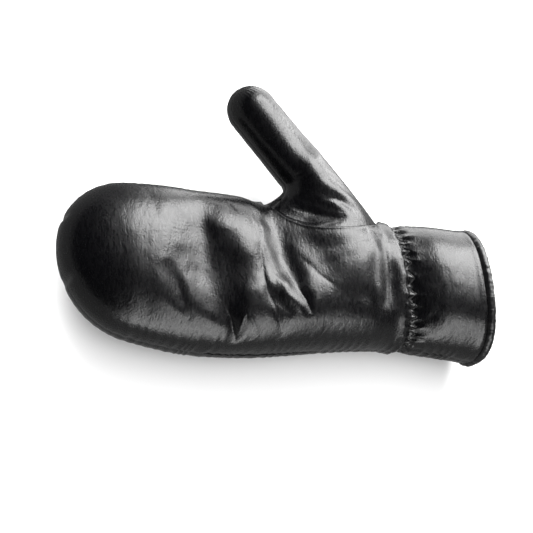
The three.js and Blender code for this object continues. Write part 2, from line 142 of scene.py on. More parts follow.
class Rumple:
    """Smooth random height over a plane, the same on each run."""

    LATTICE = 64

    def __init__(self, seed: Seed) -> None:
        """Draws the lattice of heights, from minus one to one."""
        drawn = np.random.default_rng(seed.value)
        self.heights = drawn.uniform(-1.0, 1.0, (self.LATTICE, self.LATTICE))

    def at(self, u: Array, v: Array) -> Array:
        """Reads the height at places in lattice steps.

        Args:
            u: Places along the first direction.
            v: Places along the second.

        Returns:
            The heights.
        """
        low_u = np.floor(u).astype(int)
        low_v = np.floor(v).astype(int)
        share_u = ease(u - low_u)
        share_v = ease(v - low_v)
        corner = [[self.heights[(low_u + i) % self.LATTICE, (low_v + j) % self.LATTICE]
                   for j in (0, 1)] for i in (0, 1)]
        near = corner[0][0] + (corner[0][1] - corner[0][0]) * share_v
        far = corner[1][0] + (corner[1][1] - corner[1][0]) * share_v
        return near + (far - near) * share_u


@dataclass(frozen=True)
class Ripple:
    """Swells that are read off a rumple.

    The height and the two lengths are in millimetres, or in radians where the places are angles.
    The two starts say where on the lattice the ripple begins, so that no two are alike.
    """

    height: float
    long_u: float
    long_v: float
    start_u: float
    start_v: float

    def read(self, rumple: Rumple, u: Array, v: Value, shift: Value = 0.0) -> Array:
        """Reads the ripple at places.

        Args:
            rumple: What it is read off.
            u: Places along the first direction.
            v: Places along the second.
            shift: How many lattice steps further along the first it is read.

        Returns:
            The heights.
        """
        at_u = u / self.long_u + self.start_u + shift
        return self.height * rumple.at(at_u, v / self.long_v + self.start_v)


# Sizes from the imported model

ORIGIN_ALONG = 0.6
LITTLE_REACH = 0.56
TIP_SEAM_HEIGHT = 0.66
CUFF_SHARE = 0.2297


@dataclass(frozen=True)
class MittenSizes:
    """The mitten's driving sizes in millimetres."""

    hand_length: float
    hand_width: float
    hand_depth: float
    wall: float = 2.6
    seam_gap: float = 0.3

    @classmethod
    def from_frame(cls) -> "MittenSizes":
        """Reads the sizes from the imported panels.

        Returns:
            The sizes.
        """
        palm_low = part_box("palm_panel")[0] / METRES
        back_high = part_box("back_panel")[1] / METRES
        return cls(
            hand_length=-palm_low.x / ORIGIN_ALONG,
            hand_width=-palm_low.y / LITTLE_REACH,
            hand_depth=back_high.z / TIP_SEAM_HEIGHT,
        )

    @property
    def tip_x(self) -> float:
        """The place of the fingertips."""
        return -ORIGIN_ALONG * self.hand_length

    @property
    def wrist_x(self) -> float:
        """The place of the wrist's elastic."""
        return self.tip_x + self.hand_length

    @property
    def cuff_length(self) -> float:
        """The cuff's length."""
        return CUFF_SHARE * self.hand_length

    @property
    def cuff_x(self) -> float:
        """The place of the cuff's end."""
        return self.wrist_x + self.cuff_length

    def along(self, share: float) -> float:
        """Returns the place of a share of the hand's length from the fingertips."""
        return self.tip_x + share * self.hand_length


class Part(Enum):
    """The parts of the mitten, each with its width and depth as shares of the hand's."""

    HAND = (1.0, 1.0)
    WRIST = (0.8021, 0.8929)
    CUFF = (0.875, 1.0)


@dataclass(frozen=True)
class Section:
    """A section of the mitten, in shares of its part's length, width and depth.

    The lean is how many degrees it turns from square, its thumb side toward the fingertips.
    """

    part: Part
    along: float
    to_thumb: float
    to_little: float
    palm: float
    back: float
    height: float
    lean: float


SECTIONS = (
    Section(Part.HAND, 0.00, 0.37, 0.42, 0.40, 0.38, 0.66, 0),
    Section(Part.HAND, 0.07, 0.395, 0.47, 0.43, 0.41, 0.60, 0),
    Section(Part.HAND, 0.17, 0.41, 0.505, 0.48, 0.46, 0.54, 0),
    Section(Part.HAND, 0.29, 0.43, 0.545, 0.52, 0.49, 0.50, 0),
    Section(Part.HAND, 0.40, 0.43, 0.56, 0.53, 0.50, 0.47, 0),
    Section(Part.HAND, 0.53, 0.43, 0.55, 0.53, 0.50, 0.46, 0),
    Section(Part.HAND, 0.65, 0.44, 0.52, 0.53, 0.50, 0.46, 0),
    Section(Part.HAND, 0.77, 0.44, 0.48, 0.51, 0.49, 0.46, 2),
    Section(Part.HAND, 0.88, 0.39, 0.45, 0.47, 0.48, 0.46, 4),
    Section(Part.WRIST, 1.00, 0.46, 0.54, 0.47, 0.52, 0.50, 5),
    Section(Part.CUFF, 0.45, 0.43, 0.51, 0.48, 0.50, 0.49, 5),
    Section(Part.CUFF, 1.00, 0.43, 0.54, 0.50, 0.51, 0.50, 4),
)


# Folds

class Profile(Enum):
    """The shape of a fold across its line."""

    SOFT = "soft"
    SHARP = "sharp"


@dataclass(frozen=True)
class Fold:
    """A fold or crease along a line of knots, each a row with five columns.

    A knot's places are shares of the surface's length and of its width. Its height is in
    millimetres, and it is negative in a valley. Its two reaches are how far the fold spreads to
    the right of the line and to its left, seen along it, in millimetres.
    """

    knots: tuple[tuple[float, float, float, float, float], ...]
    profile: Profile = Profile.SOFT


class FoldField:
    """A set of folds that can be read anywhere on a surface's plan."""

    STEPS = 6
    REACH = {Profile.SOFT: 2.4, Profile.SHARP: 5.0}
    WANDER_ALONG = Ripple(0.9, 8.0, 8.0, 3.0, 7.0)
    WANDER_ACROSS = Ripple(0.9, 8.0, 8.0, 31.0, 17.0)

    def __init__(self, folds: tuple[Fold, ...], length: float, width: float, seed: Seed) -> None:
        """Keeps the folds and the sizes that their shares are of.

        Args:
            folds: The folds.
            length: The surface's length in millimetres.
            width: Its width.
            seed: What the wander of the lines is drawn from.
        """
        self.folds = folds
        self.scale = np.array([length, width, 1.0, 1.0, 1.0])
        self.rumple = Rumple(seed)

    def line_of(self, fold: Fold) -> Array:
        """Puts more knots between a fold's own, on a smooth curve.

        Args:
            fold: The fold.

        Returns:
            The knots in millimetres, in rows.
        """
        knots = np.array(fold.knots) * self.scale
        places = np.arange(len(knots), dtype=float)
        at = np.linspace(0.0, len(knots) - 1.0, self.STEPS * (len(knots) - 1) + 1)
        columns = [curve_through(places, knots[:, k], at) for k in range(knots.shape[1])]
        return np.stack(columns, axis=-1)

    def height_of(self, fold: Fold, line: Array, u: Array, v: Array) -> Array:
        """Reads one fold's height.

        Args:
            fold: The fold.
            line: Its close knots.
            u: Places along the surface's length.
            v: Places across it.

        Returns:
            The heights in millimetres.
        """
        nearest = np.full(u.shape, np.inf)
        side = np.zeros(u.shape)
        height, right, left = (np.zeros(u.shape) for _ in range(3))
        for start, end in zip(line[:-1], line[1:]):
            step = end[:2] - start[:2]
            from_u = u - start[0]
            from_v = v - start[1]
            t = np.clip((from_u * step[0] + from_v * step[1]) / (step @ step), 0.0, 1.0)
            off = np.hypot(from_u - t * step[0], from_v - t * step[1])
            closer = off < nearest
            nearest = np.where(closer, off, nearest)
            side = np.where(closer, step[0] * from_v - step[1] * from_u, side)
            height = np.where(closer, between(start[2], end[2], t), height)
            right = np.where(closer, between(start[3], end[3], t), right)
            left = np.where(closer, between(start[4], end[4], t), left)
        off = nearest / np.where(side > 0, left, right)
        return height * (bell(off) if fold.profile is Profile.SOFT else np.exp(-off))

    def height(self, u: Array, v: Array) -> Array:
        """Adds up the heights of the folds near each place, whose lines wander a little.

        Args:
            u: Places along the surface's length.
            v: Places across it.

        Returns:
            The heights in millimetres.
        """
        bent_u = u + self.WANDER_ALONG.read(self.rumple, u, v)
        bent_v = v + self.WANDER_ACROSS.read(self.rumple, u, v)
        total = np.zeros(u.shape)
        for fold in self.folds:
            line = self.line_of(fold)
            reach = self.REACH[fold.profile] * line[:, 3:].max()
            low = line.min(axis=0) - reach
            high = line.max(axis=0) + reach
            near = (bent_u > low[0]) & (bent_u < high[0]) & (bent_v > low[1]) & (bent_v < high[1])
            if near.any():
                total[near] += self.height_of(fold, line, bent_u[near], bent_v[near])
        return total


# Folds of the palm. Their lines run from the thumb to the little finger, so a knot's first reach
# is toward the fingertips and its second toward the cuff.
PALM_FOLDS = (
    Fold(((0.373, 0.300, 0.0, 12, 7), (0.371, 0.200, -2.2, 16, 9), (0.372, 0.100, -4.2, 19, 11),
          (0.382, 0.003, -5.2, 21, 14), (0.392, -0.102, -5.6, 21, 18), (0.408, -0.204, -5.2, 18, 20),
          (0.427, -0.304, -4.2, 13, 15), (0.448, -0.385, -2.9, 8, 8), (0.468, -0.462, -1.8, 4, 4.5),
          (0.485, -0.530, 0.0, 3, 3))),
    Fold(((0.436, -0.340, 0.0, 1.5, 1.5), (0.452, -0.405, -1.3, 1.5, 1.5),
          (0.469, -0.473, -1.1, 1.5, 1.5), (0.484, -0.525, 0.0, 1.5, 1.5)), Profile.SHARP),
    Fold(((0.264, -0.102, 0.0, 5, 4), (0.280, -0.167, -0.8, 6, 5), (0.296, -0.240, -1.4, 6, 4.5),
          (0.315, -0.318, -1.3, 6, 4), (0.336, -0.398, -0.6, 5, 3.5), (0.348, -0.446, 0.0, 4, 3))),
    Fold(((0.236, 0.330, 0.0, 3, 3), (0.240, 0.220, -0.3, 3, 3), (0.243, 0.100, 0.0, 3, 3))),
    Fold(((0.545, 0.380, 0.0, 3, 1.2), (0.541, 0.250, -0.6, 4, 1.3), (0.538, 0.150, -0.7, 5, 1.5),
          (0.540, 0.008, -0.8, 6, 1.4), (0.548, -0.131, -0.9, 5, 1.6), (0.564, -0.253, -1.3, 3, 2.6),
          (0.580, -0.350, -1.2, 2, 3.6), (0.613, -0.495, 0.0, 2, 3)), Profile.SHARP),
    Fold(((0.588, 0.359, -1.2, 8, 8), (0.597, 0.220, -2.2, 9, 9), (0.606, 0.120, -2.8, 9, 9),
          (0.618, 0.010, -3.2, 10, 8), (0.631, -0.085, -2.8, 10, 7), (0.645, -0.154, -2.2, 8, 5.5),
          (0.661, -0.232, -1.6, 6, 4), (0.679, -0.305, -0.7, 4, 2.5), (0.690, -0.346, 0.0, 4, 2))),
    Fold(((0.598, 0.420, -3.0, 11, 28), (0.608, 0.220, -5.4, 12, 32), (0.618, 0.030, -5.4, 12, 32),
          (0.638, -0.100, -3.6, 11, 28), (0.658, -0.200, -1.2, 8, 20), (0.675, -0.280, 0.0, 6, 14))),
    Fold(((0.649, -0.175, 0.0, 1.2, 1.2), (0.665, -0.246, -0.9, 1.2, 1.2),
          (0.679, -0.312, -0.7, 1.2, 1.2), (0.688, -0.343, 0.0, 1, 1)), Profile.SHARP),
    Fold(((0.580, -0.111, 0.0, 2, 3), (0.597, -0.173, 0.9, 2.5, 3), (0.617, -0.231, 1.1, 3, 4),
          (0.641, -0.281, 0.9, 3, 4), (0.666, -0.315, 0.0, 3, 3))),
    Fold(((0.561, -0.193, 0.0, 4, 3), (0.582, -0.261, -1.1, 4, 3), (0.604, -0.320, -1.0, 4, 3),
          (0.631, -0.361, 0.0, 3, 3))),
    Fold(((0.669, 0.289, -0.4, 11, 6), (0.673, 0.201, -0.7, 11, 6), (0.688, 0.136, -0.8, 11, 7),
          (0.711, 0.078, -0.8, 11, 7), (0.733, 0.004, -0.7, 11, 7), (0.753, -0.061, -0.5, 11, 7),
          (0.777, -0.132, 0.0, 6, 7))),
    Fold(((0.657, 0.036, 0.0, 1.5, 1), (0.685, -0.039, -0.45, 1.5, 1),
          (0.718, -0.102, -0.45, 1.5, 1), (0.758, -0.179, 0.0, 1.5, 1)), Profile.SHARP),
    Fold(((0.924, 0.208, 0.0, 10, 5), (0.924, 0.110, -1.2, 10, 5), (0.932, 0.007, -2.2, 12, 5),
          (0.939, -0.100, -2.6, 10, 5), (0.932, -0.194, -1.9, 8, 6), (0.912, -0.270, -0.8, 7, 7),
          (0.890, -0.330, 0.0, 6, 7))),
    Fold(((0.840, 0.380, 1.5, 24, 12), (0.858, 0.220, 3.8, 26, 12), (0.868, 0.080, 4.2, 26, 12),
          (0.868, -0.060, 3.4, 24, 11), (0.860, -0.180, 1.5, 20, 10), (0.850, -0.260, 0.0, 16, 10))),
    Fold(((0.464, 0.350, 0.0, 1.5, 1.2), (0.464, 0.278, -0.7, 1.5, 1.2),
          (0.475, 0.229, 0.0, 1.5, 1.2)), Profile.SHARP),
    Fold(((0.496, -0.359, 0.0, 1.5, 0.9), (0.485, -0.436, 0.7, 1.5, 0.9),
          (0.480, -0.513, 0.0, 1.5, 0.9)), Profile.SHARP),
    Fold(((0.496, -0.359, 0.0, 0.9, 1.5), (0.515, -0.425, 0.6, 0.9, 1.5),
          (0.536, -0.474, 0.0, 0.9, 1.5)), Profile.SHARP),
)

@dataclass(frozen=True)
class Notch:
    """A dent where the leather is caught in a side seam.

    Its place is in shares of the hand's length and width, its depth and reach in millimetres.
    """

    along: float
    across: float
    depth: float
    reach: float


NOTCHES = (
    Notch(0.008, 0.150, 1.9, 2.4),
    Notch(0.020, -0.235, 1.8, 2.4),
    Notch(0.205, -0.535, 0.9, 2.0),
    Notch(0.060, -0.380, 0.5, 1.6),
)


@dataclass
class HandForm:
    """The smooth form of hand and cuff, and the leather's outer and inner skins on it.

    Lengths are in millimetres, those of the wrist from its elastic toward the cuff. A depth is a
    height at its most, and a reach is half the width of its bell curve.
    """

    sizes: MittenSizes

    # How square the sections are, how the outline closes at the fingertips in shares of the
    # hand's length, and the steps that the outward directions are found with.
    section_power: float = 2.35
    tip_power: float = 2.1
    tip_round_thumb: float = 0.19
    tip_round_little: float = 0.20
    tip_round_depth: float = 0.20
    length_step: float = 0.5
    turn_step: float = 0.0087
    near_tip: float = 0.05
    radius: float = 42.0

    # The palm's shoulder over the little-finger side, in shares of the hand's length.
    shoulder_power: float = 3.0
    shoulder_start: float = 0.35
    shoulder_full: float = 0.60
    shoulder_fading: float = 0.86

    # The zigzag stitches of the elastic and the ruffle round it.
    zigzags: int = 32
    zigzag_reach: float = 2.3
    zigzag_off: float = 1.6
    zigzag_wander: Ripple = Ripple(0.3, 1 / 5, 1.0, 20.0, 3.5)
    stitch_depth: float = 0.8
    stitch_reach: float = 0.9
    gather_depth: float = 0.7
    gather_reach_hand: float = 4.5
    gather_reach_cuff: float = 5.5
    gather_share: float = 0.8
    gather_change: Ripple = Ripple(0.6, 1 / 9, 1.0, 40.0, 7.5)
    tucks: Ripple = Ripple(0.7, 1 / 7, 14.0, 60.0, 5.0)
    tuck_off: float = 7.0
    tuck_reach: float = 6.0
    overhang: float = 1.2
    overhang_off: float = -4.0
    overhang_reach: float = 5.0
    overhang_edge: float = -1.0
    overhang_edge_reach: float = 0.4
    elastic_depth: float = 1.4
    elastic_reach_hand: float = 3.4
    elastic_reach_cuff: float = 4.6

    # The cuff's edge, which turns in over the binding.
    lip_length: float = 1.8
    lip_drop: float = 1.2
    lip_rise: float = 0.35
    lip_rise_off: float = 1.6

    # The side seams and the puckers beside them, whose reach is in radians.
    seam_depth: float = 0.25
    seam_reach: float = 0.9
    pucker_depth_thumb: float = 0.15
    pucker_depth_little: float = 0.34
    pucker_period: float = 5.4
    pucker_reach: float = 0.42
    pucker_lean: Ripple = Ripple(0.5, 20.0, 1 / 2, 0.0, 21.0)
    pucker_wander: Ripple = Ripple(0.9, 9.0, 1.0, 0.0, 0.5)
    pucker_share: float = 0.7
    pucker_change: Ripple = Ripple(0.7, 13.0, 1 / 3, 0.0, 11.5)
    little_side_shift: float = 31.0

    # The fine wrinkles across the hand.
    crinkle_depth: float = 0.06
    crinkle_slant: float = 0.25
    crinkle_wander: Ripple = Ripple(2.0, 17.0, 23.0, 1.0, 6.0)
    crinkle_lines: Ripple = Ripple(1.0, 3.1, 9.0, 0.0, 12.0)
    crinkle_finer: Ripple = Ripple(0.5, 1.9, 5.0, 8.0, 30.0)
    crinkle_patches: Ripple = Ripple(1.0, 19.0, 16.0, 40.0, 44.0)
    crinkle_least: float = 0.25

    # The swells all over, which are calm at the fingertips, and the folds' start on the palm.
    coarse: Ripple = Ripple(0.32, 26.0, 30.0, 5.0, 9.0)
    fine: Ripple = Ripple(0.07, 8.0, 12.0, 13.0, 2.0)
    tip_calm: float = 25.0
    folds_rise: float = 4.0

    def __post_init__(self) -> None:
        """Works out the sections in millimetres."""
        sizes = self.sizes
        rows = []
        for row in SECTIONS:
            wide, deep = row.part.value
            width = wide * sizes.hand_width
            depth = deep * sizes.hand_depth
            start, length = sizes.tip_x, sizes.hand_length
            if row.part is Part.CUFF:
                start, length = sizes.wrist_x, sizes.cuff_length
            rows.append({
                "x": start + row.along * length,
                "middle": (row.to_thumb - row.to_little) / 2 * width,
                "half": (row.to_thumb + row.to_little) / 2 * width,
                "palm": row.palm * depth,
                "back": row.back * depth,
                "height": row.height * depth,
                "lean": math.tan(math.radians(row.lean)),
            })
        self.knots = np.array([row["x"] for row in rows])
        self.values = {name: np.array([row[name] for row in rows]) for name in rows[0]}
        self.folds = FoldField(PALM_FOLDS, sizes.hand_length, sizes.hand_width, Seed.PALM_FOLDS)
        self.rumple = Rumple(Seed.HAND)
        self.ring: "ThumbRing | None" = None

    def size(self, name: str, x: Array) -> Array:
        """Reads one of the sections' sizes at x."""
        return curve_through(self.knots, self.values[name], x)

    def opening(self, x: Array, share: float) -> Array:
        """Returns how far the outline has opened at x, from nought at the tip to one."""
        short = np.clip(1 - (x - self.sizes.tip_x) / (share * self.sizes.hand_length), 0, 1)
        return (1 - short ** self.tip_power) ** (1 / self.tip_power)

    def power(self, x: Array, on_shoulder: Array) -> Array:
        """Returns how square a section is at x.

        Args:
            x: Places along the mitten.
            on_shoulder: Whether they are on the palm's shoulder over the little-finger side.

        Returns:
            The powers.
        """
        along = (x - self.sizes.tip_x) / self.sizes.hand_length
        rising = (along - self.shoulder_start) / (self.shoulder_full - self.shoulder_start)
        fading = (along - self.shoulder_fading) / (1.0 - self.shoulder_fading)
        share = eased(rising) * (1.0 - eased(fading))
        squarer = between(self.section_power, self.shoulder_power, share)
        return np.where(on_shoulder, squarer, self.section_power)

    def form(self, x: Array, angle: Array) -> Array:
        """Returns points of the smooth form.

        Args:
            x: Places along the mitten.
            angle: Angles from the thumb-side seam over the palm, in radians.

        Returns:
            The points, with their coordinates on a last axis.
        """
        x, angle = np.broadcast_arrays(x, angle)
        c = np.cos(angle)
        s = np.sin(angle)
        side = np.where(c > 0, self.opening(x, self.tip_round_thumb),
                        self.opening(x, self.tip_round_little))
        depth = np.where(s > 0, self.size("palm", x), self.size("back", x))
        depth = depth * self.opening(x, self.tip_round_depth)
        power = self.power(x, (c < 0) & (s > 0))
        across = self.size("half", x) * side * signed_power(c, 2 / power)
        z = self.size("height", x) + depth * signed_power(s, 2 / power)
        return np.stack([x - self.size("lean", x) * across, self.size("middle", x) + across,
                         np.maximum(z, 0.0)], axis=-1)

    def normal(self, x: Array, angle: Array) -> Array:
        """Returns the form's outward directions, level along the side seams.

        Args:
            x: Places along the mitten.
            angle: Angles round it.

        Returns:
            The directions, with their coordinates on a last axis.
        """
        x, angle = np.broadcast_arrays(x, angle)
        back_step = np.minimum(self.length_step, (x - self.sizes.tip_x) / 2)
        lengthwise = self.form(x + self.length_step, angle) - self.form(x - back_step, angle)
        turned = self.form(x, angle + self.turn_step) - self.form(x, angle - self.turn_step)
        on_seam = (np.abs(np.sin(angle)) < self.turn_step)[..., None]
        upright = np.zeros_like(turned)
        upright[..., 2] = np.sign(np.cos(angle))
        found = np.cross(np.where(on_seam, upright, turned), lengthwise)
        found[..., 2] = np.where(on_seam[..., 0], 0.0, found[..., 2])
        found = unit(found)
        under = (self.form(x, angle)[..., 2] <= 0)[..., None]
        found = np.where(under, np.array([0.0, 0.0, -1.0]), found)
        at_tip = (x - self.sizes.tip_x < self.near_tip)[..., None]
        return np.where(at_tip, np.array([-1.0, 0.0, 0.0]), found)

    def zigzag(self, angle: Array) -> Array:
        """Returns where the elastic's stitches run, in millimetres from the wrist."""
        share = angle / (2 * math.pi) * self.zigzags
        return self.zigzag_off + self.zigzag_reach * (4 * np.abs(share % 1.0 - 0.5) - 1)

    def wrist_relief(self, x: Array, angle: Array) -> Array:
        """Returns the height of the ruffle over the wrist's elastic.

        Args:
            x: Places along the mitten.
            angle: Angles round it.

        Returns:
            The heights in millimetres.
        """
        off = x - self.sizes.wrist_x
        level = np.zeros(off.shape)
        wander = self.zigzag_wander.read(self.rumple, angle, level)
        share = angle / (2 * math.pi) * self.zigzags + wander
        puff = sharpened(np.sin(math.pi * share))
        strength = self.gather_share + self.gather_change.read(self.rumple, angle, level)
        past = off - self.zigzag_off
        reach = np.where(past < 0, self.gather_reach_hand, self.gather_reach_cuff)
        gathers = self.gather_depth * puff * strength * bell(past / reach)
        tuck = self.tucks.read(self.rumple, angle, off) * bell((off - self.tuck_off) / self.tuck_reach)
        rise = bell((off - self.overhang_off) / self.overhang_reach)
        drop = falling((off - self.overhang_edge) / self.overhang_edge_reach)
        reach = np.where(past < 0, self.elastic_reach_hand, self.elastic_reach_cuff)
        elastic = -self.elastic_depth * bell(past / reach)
        stitch = -self.stitch_depth * bell((off - self.zigzag(angle)) / self.stitch_reach)
        return gathers + tuck + self.overhang * rise * drop + elastic + stitch

    def lip_relief(self, x: Array) -> Array:
        """Returns the height of the cuff's edge, which turns in over the binding.

        Args:
            x: Places along the mitten.

        Returns:
            The heights in millimetres.
        """
        past = np.clip((x - self.sizes.cuff_x) / self.lip_length + 1.0, 0.0, 1.0)
        rise = self.lip_rise * bell((x - self.sizes.cuff_x) / self.lip_length + self.lip_rise_off)
        return rise - self.lip_drop * (1.0 - np.sqrt(1.0 - past ** 2))

    def seam_relief(self, x: Array, angle: Array) -> Array:
        """Returns the height of the side seams' groove and of the puckers beside it.

        Args:
            x: Places along the mitten.
            angle: Angles round it.

        Returns:
            The heights in millimetres.
        """
        turn = np.arcsin(np.clip(np.abs(np.sin(angle)), 0.0, 1.0))
        groove = -self.seam_depth * bell(turn * self.radius / 2 / self.seam_reach)
        by_thumb = np.cos(angle) > 0
        side = np.where(by_thumb, 0.0, self.little_side_shift)
        depth = np.where(by_thumb, self.pucker_depth_thumb, self.pucker_depth_little)
        lean = self.pucker_lean.read(self.rumple, x, turn, side)
        wander = self.pucker_wander.read(self.rumple, x, np.zeros(x.shape), side)
        phase = x / self.pucker_period + wander + lean
        strength = self.pucker_share + self.pucker_change.read(self.rumple, x, turn, side)
        puckers = depth * strength * sharpened(np.sin(math.pi * phase))
        return groove + puckers * bell(turn / self.pucker_reach)

    def notch_relief(self, plan: Array) -> Array:
        """Returns the height of the notches in the side seams.

        Args:
            plan: Points of the form.

        Returns:
            The heights in millimetres, none over nought.
        """
        height = np.zeros(plan.shape[:-1])
        for notch in NOTCHES:
            off_x = plan[..., 0] - self.sizes.along(notch.along)
            off_y = plan[..., 1] - notch.across * self.sizes.hand_width
            height -= notch.depth * bell(np.hypot(off_x, off_y) / notch.reach)
        return height

    def crinkles(self, x: Array, turned: Array) -> Array:
        """Returns the height of the fine wrinkles, which run mostly across the hand.

        Args:
            x: Places along the mitten.
            turned: Places round it, in millimetres.

        Returns:
            The heights in millimetres.
        """
        slant = x + self.crinkle_slant * turned + self.crinkle_wander.read(self.rumple, x, turned)
        lines = sharpened(self.crinkle_lines.read(self.rumple, slant, turned))
        finer = self.crinkle_finer.read(self.rumple, slant, turned)
        where = np.clip(0.5 + self.crinkle_patches.read(self.rumple, x, turned), 0.0, 1.0)
        return self.crinkle_depth * (lines + finer) * between(self.crinkle_least, 1.0, where)

    def relief(self, x: Array, angle: Array) -> Array:
        """Returns how far the outer skin stands over the smooth form.

        Args:
            x: Places along the mitten.
            angle: Angles round it.

        Returns:
            The heights in millimetres.
        """
        x, angle = np.broadcast_arrays(x, angle)
        plan = self.form(x, angle)
        palmward = eased(np.sin(angle) * self.folds_rise)
        from_tip = plan[..., 0] - self.sizes.tip_x
        folds = self.folds.height(from_tip, plan[..., 1]) * palmward
        turned = angle * self.radius
        coarse = self.coarse.read(self.rumple, x, turned)
        fine = self.fine.read(self.rumple, x, turned)
        past_tip = np.clip((x - self.sizes.tip_x) / self.tip_calm, 0.0, 1.0)
        total = folds + (coarse + fine + self.crinkles(x, turned)) * past_tip
        total = total + self.wrist_relief(x, angle) + self.seam_relief(x, angle) * past_tip
        total = total + self.lip_relief(x) + self.notch_relief(plan)
        if self.ring is not None:
            total = total + self.ring.relief(x, angle)
        return total

    def outer(self, x: Array, angle: Array) -> Array:
        """Returns points of the leather's outer skin.

        Args:
            x: Places along the mitten.
            angle: Angles round it.

        Returns:
            The points, with their coordinates on a last axis.
        """
        points = self.form(x, angle) + self.normal(x, angle) * self.relief(x, angle)[..., None]
        points[..., 2] = np.maximum(points[..., 2], 0.0)
        return points

    def inner(self, x: Array, angle: Array) -> Array:
        """Returns points of the leather's inner skin, one wall inside.

        Args:
            x: Places along the mitten.
            angle: Angles round it.

        Returns:
            The points, with their coordinates on a last axis.
        """
        wall = self.sizes.wall
        height = self.relief(x, angle)[..., None] - wall
        points = self.form(x, angle) + self.normal(x, angle) * height
        points[..., 2] = np.maximum(points[..., 2], wall)
        return points


# The thumb's seam on the hand: a share of the hand's length, and degrees from the side seam
# toward the palm. The first is the corner nearest the cuff.
THUMB_RING = (
    (0.972, 0), (0.948, 26), (0.905, 44), (0.850, 55), (0.790, 61), (0.730, 61), (0.675, 55),
    (0.630, 42), (0.602, 14), (0.618, -20), (0.665, -38), (0.720, -44), (0.785, -46),
    (0.845, -42), (0.900, -32), (0.950, -16),
)


@dataclass
class ThumbRing:
    """The seam that joins the thumb to the hand.

    Lengths are in millimetres. The middle and the spread of the rise beside it are shares of the
    hand's length.
    """

    hand: HandForm

    samples: int = 480
    groove_depth: float = 1.36
    groove_reach: float = 0.7
    welt_height: float = 0.52
    welt_off: float = 1.7
    welt_reach: float = 0.8
    rise_height: float = 1.6
    rise_reach: float = 9.0
    rise_along: tuple[float, float] = (0.77, 0.12)
    palm_rise: float = 2.0
    margin: float = 20.0

    def __post_init__(self) -> None:
        """Draws the seam on the hand's form and gives the hand its groove."""
        hand = self.hand
        self.knots = np.array(THUMB_RING, float)
        share = np.arange(self.samples) / self.samples
        self.x, self.angle = self.place(share)
        self.centre = hand.form(*self.place(np.arange(len(self.knots)) / len(self.knots))).mean(axis=0)
        hand.ring = self

    def place(self, share: Array) -> tuple[Array, Array]:
        """Reads where the seam runs, on a smooth curve through its knots.

        Args:
            share: Shares of the way round the seam.

        Returns:
            The places along the hand and the angles round it.
        """
        count = len(self.knots)
        at = np.asarray(share, float) % 1.0 * count
        first = np.floor(at).astype(int)
        t = (at - first)[..., None]
        a, b, c, d = (self.knots[(first + k) % count] for k in (-1, 0, 1, 2))
        bend = (2 * a - 5 * b + 4 * c - d) * t ** 2 + (3 * b - a - 3 * c + d) * t ** 3
        row = b + ((c - a) * t + bend) / 2
        return self.hand.sizes.along(row[..., 0]), np.radians(row[..., 1])

    def nearest(self, x: Array, angle: Array) -> tuple[Array, Array, Array]:
        """Finds the seam's nearest place to each place of the hand.

        Args:
            x: Places along the hand.
            angle: Angles round it.

        Returns:
            The distances in millimetres, and the nearest places along and round the hand.
        """
        radius = self.hand.radius
        best = np.full(x.shape, np.inf)
        best_x = np.zeros(x.shape)
        best_angle = np.zeros(x.shape)
        for k in range(self.samples):
            x0, a0 = self.x[k - 1], self.angle[k - 1]
            step_x, step_a = self.x[k] - x0, (self.angle[k] - a0) * radius
            from_x, from_a = x - x0, (angle - a0) * radius
            t = np.clip((from_x * step_x + from_a * step_a) / (step_x ** 2 + step_a ** 2), 0, 1)
            off = np.hypot(from_x - t * step_x, from_a - t * step_a)
            closer = off < best
            best = np.where(closer, off, best)
            best_x = np.where(closer, x0 + t * step_x, best_x)
            best_angle = np.where(closer, a0 + t * step_a / radius, best_angle)
        return best, best_x, best_angle

    def inside(self, x: Array, angle: Array) -> Array:
        """Finds which places of the hand lie within the seam.

        Args:
            x: Places along the hand.
            angle: Angles round it.

        Returns:
            Whether each lies within it.
        """
        found = np.zeros(x.shape, bool)
        for k in range(self.samples):
            x0, a0, x1, a1 = self.x[k - 1], self.angle[k - 1], self.x[k], self.angle[k]
            if a0 == a1:
                continue
            crosses = (a0 > angle) != (a1 > angle)
            found ^= crosses & (x < x0 + (angle - a0) / (a1 - a0) * (x1 - x0))
        return found

    def relief(self, x: Array, angle: Array) -> Array:
        """Returns the height round the seam on the hand.

        Args:
            x: Places along the hand.
            angle: Angles round it.

        Returns:
            The heights of its groove, of the welt beside that and of the broad rise toward the
            palm, in millimetres.
        """
        turned = (angle + math.pi) % (2 * math.pi) - math.pi
        near = (x > self.x.min() - self.margin) & (x < self.x.max() + self.margin)
        near &= np.abs(turned) < np.abs(self.angle).max() + self.margin / self.hand.radius
        height = np.zeros(x.shape)
        if near.any():
            off = self.nearest(x[near], turned[near])[0]
            groove = -self.groove_depth * np.exp(-off / self.groove_reach)
            welt = self.welt_height * bell((off - self.welt_off) / self.welt_reach)
            middle, spread = (share * self.hand.sizes.hand_length for share in self.rise_along)
            from_middle = (x[near] - self.hand.sizes.tip_x - middle) / spread
            palmward = eased(np.sin(turned[near]) * self.palm_rise)
            rise = self.rise_height * bell(off / self.rise_reach) * bell(from_middle) * palmward
            height[near] = groove + welt + rise
        return height


# Meshes

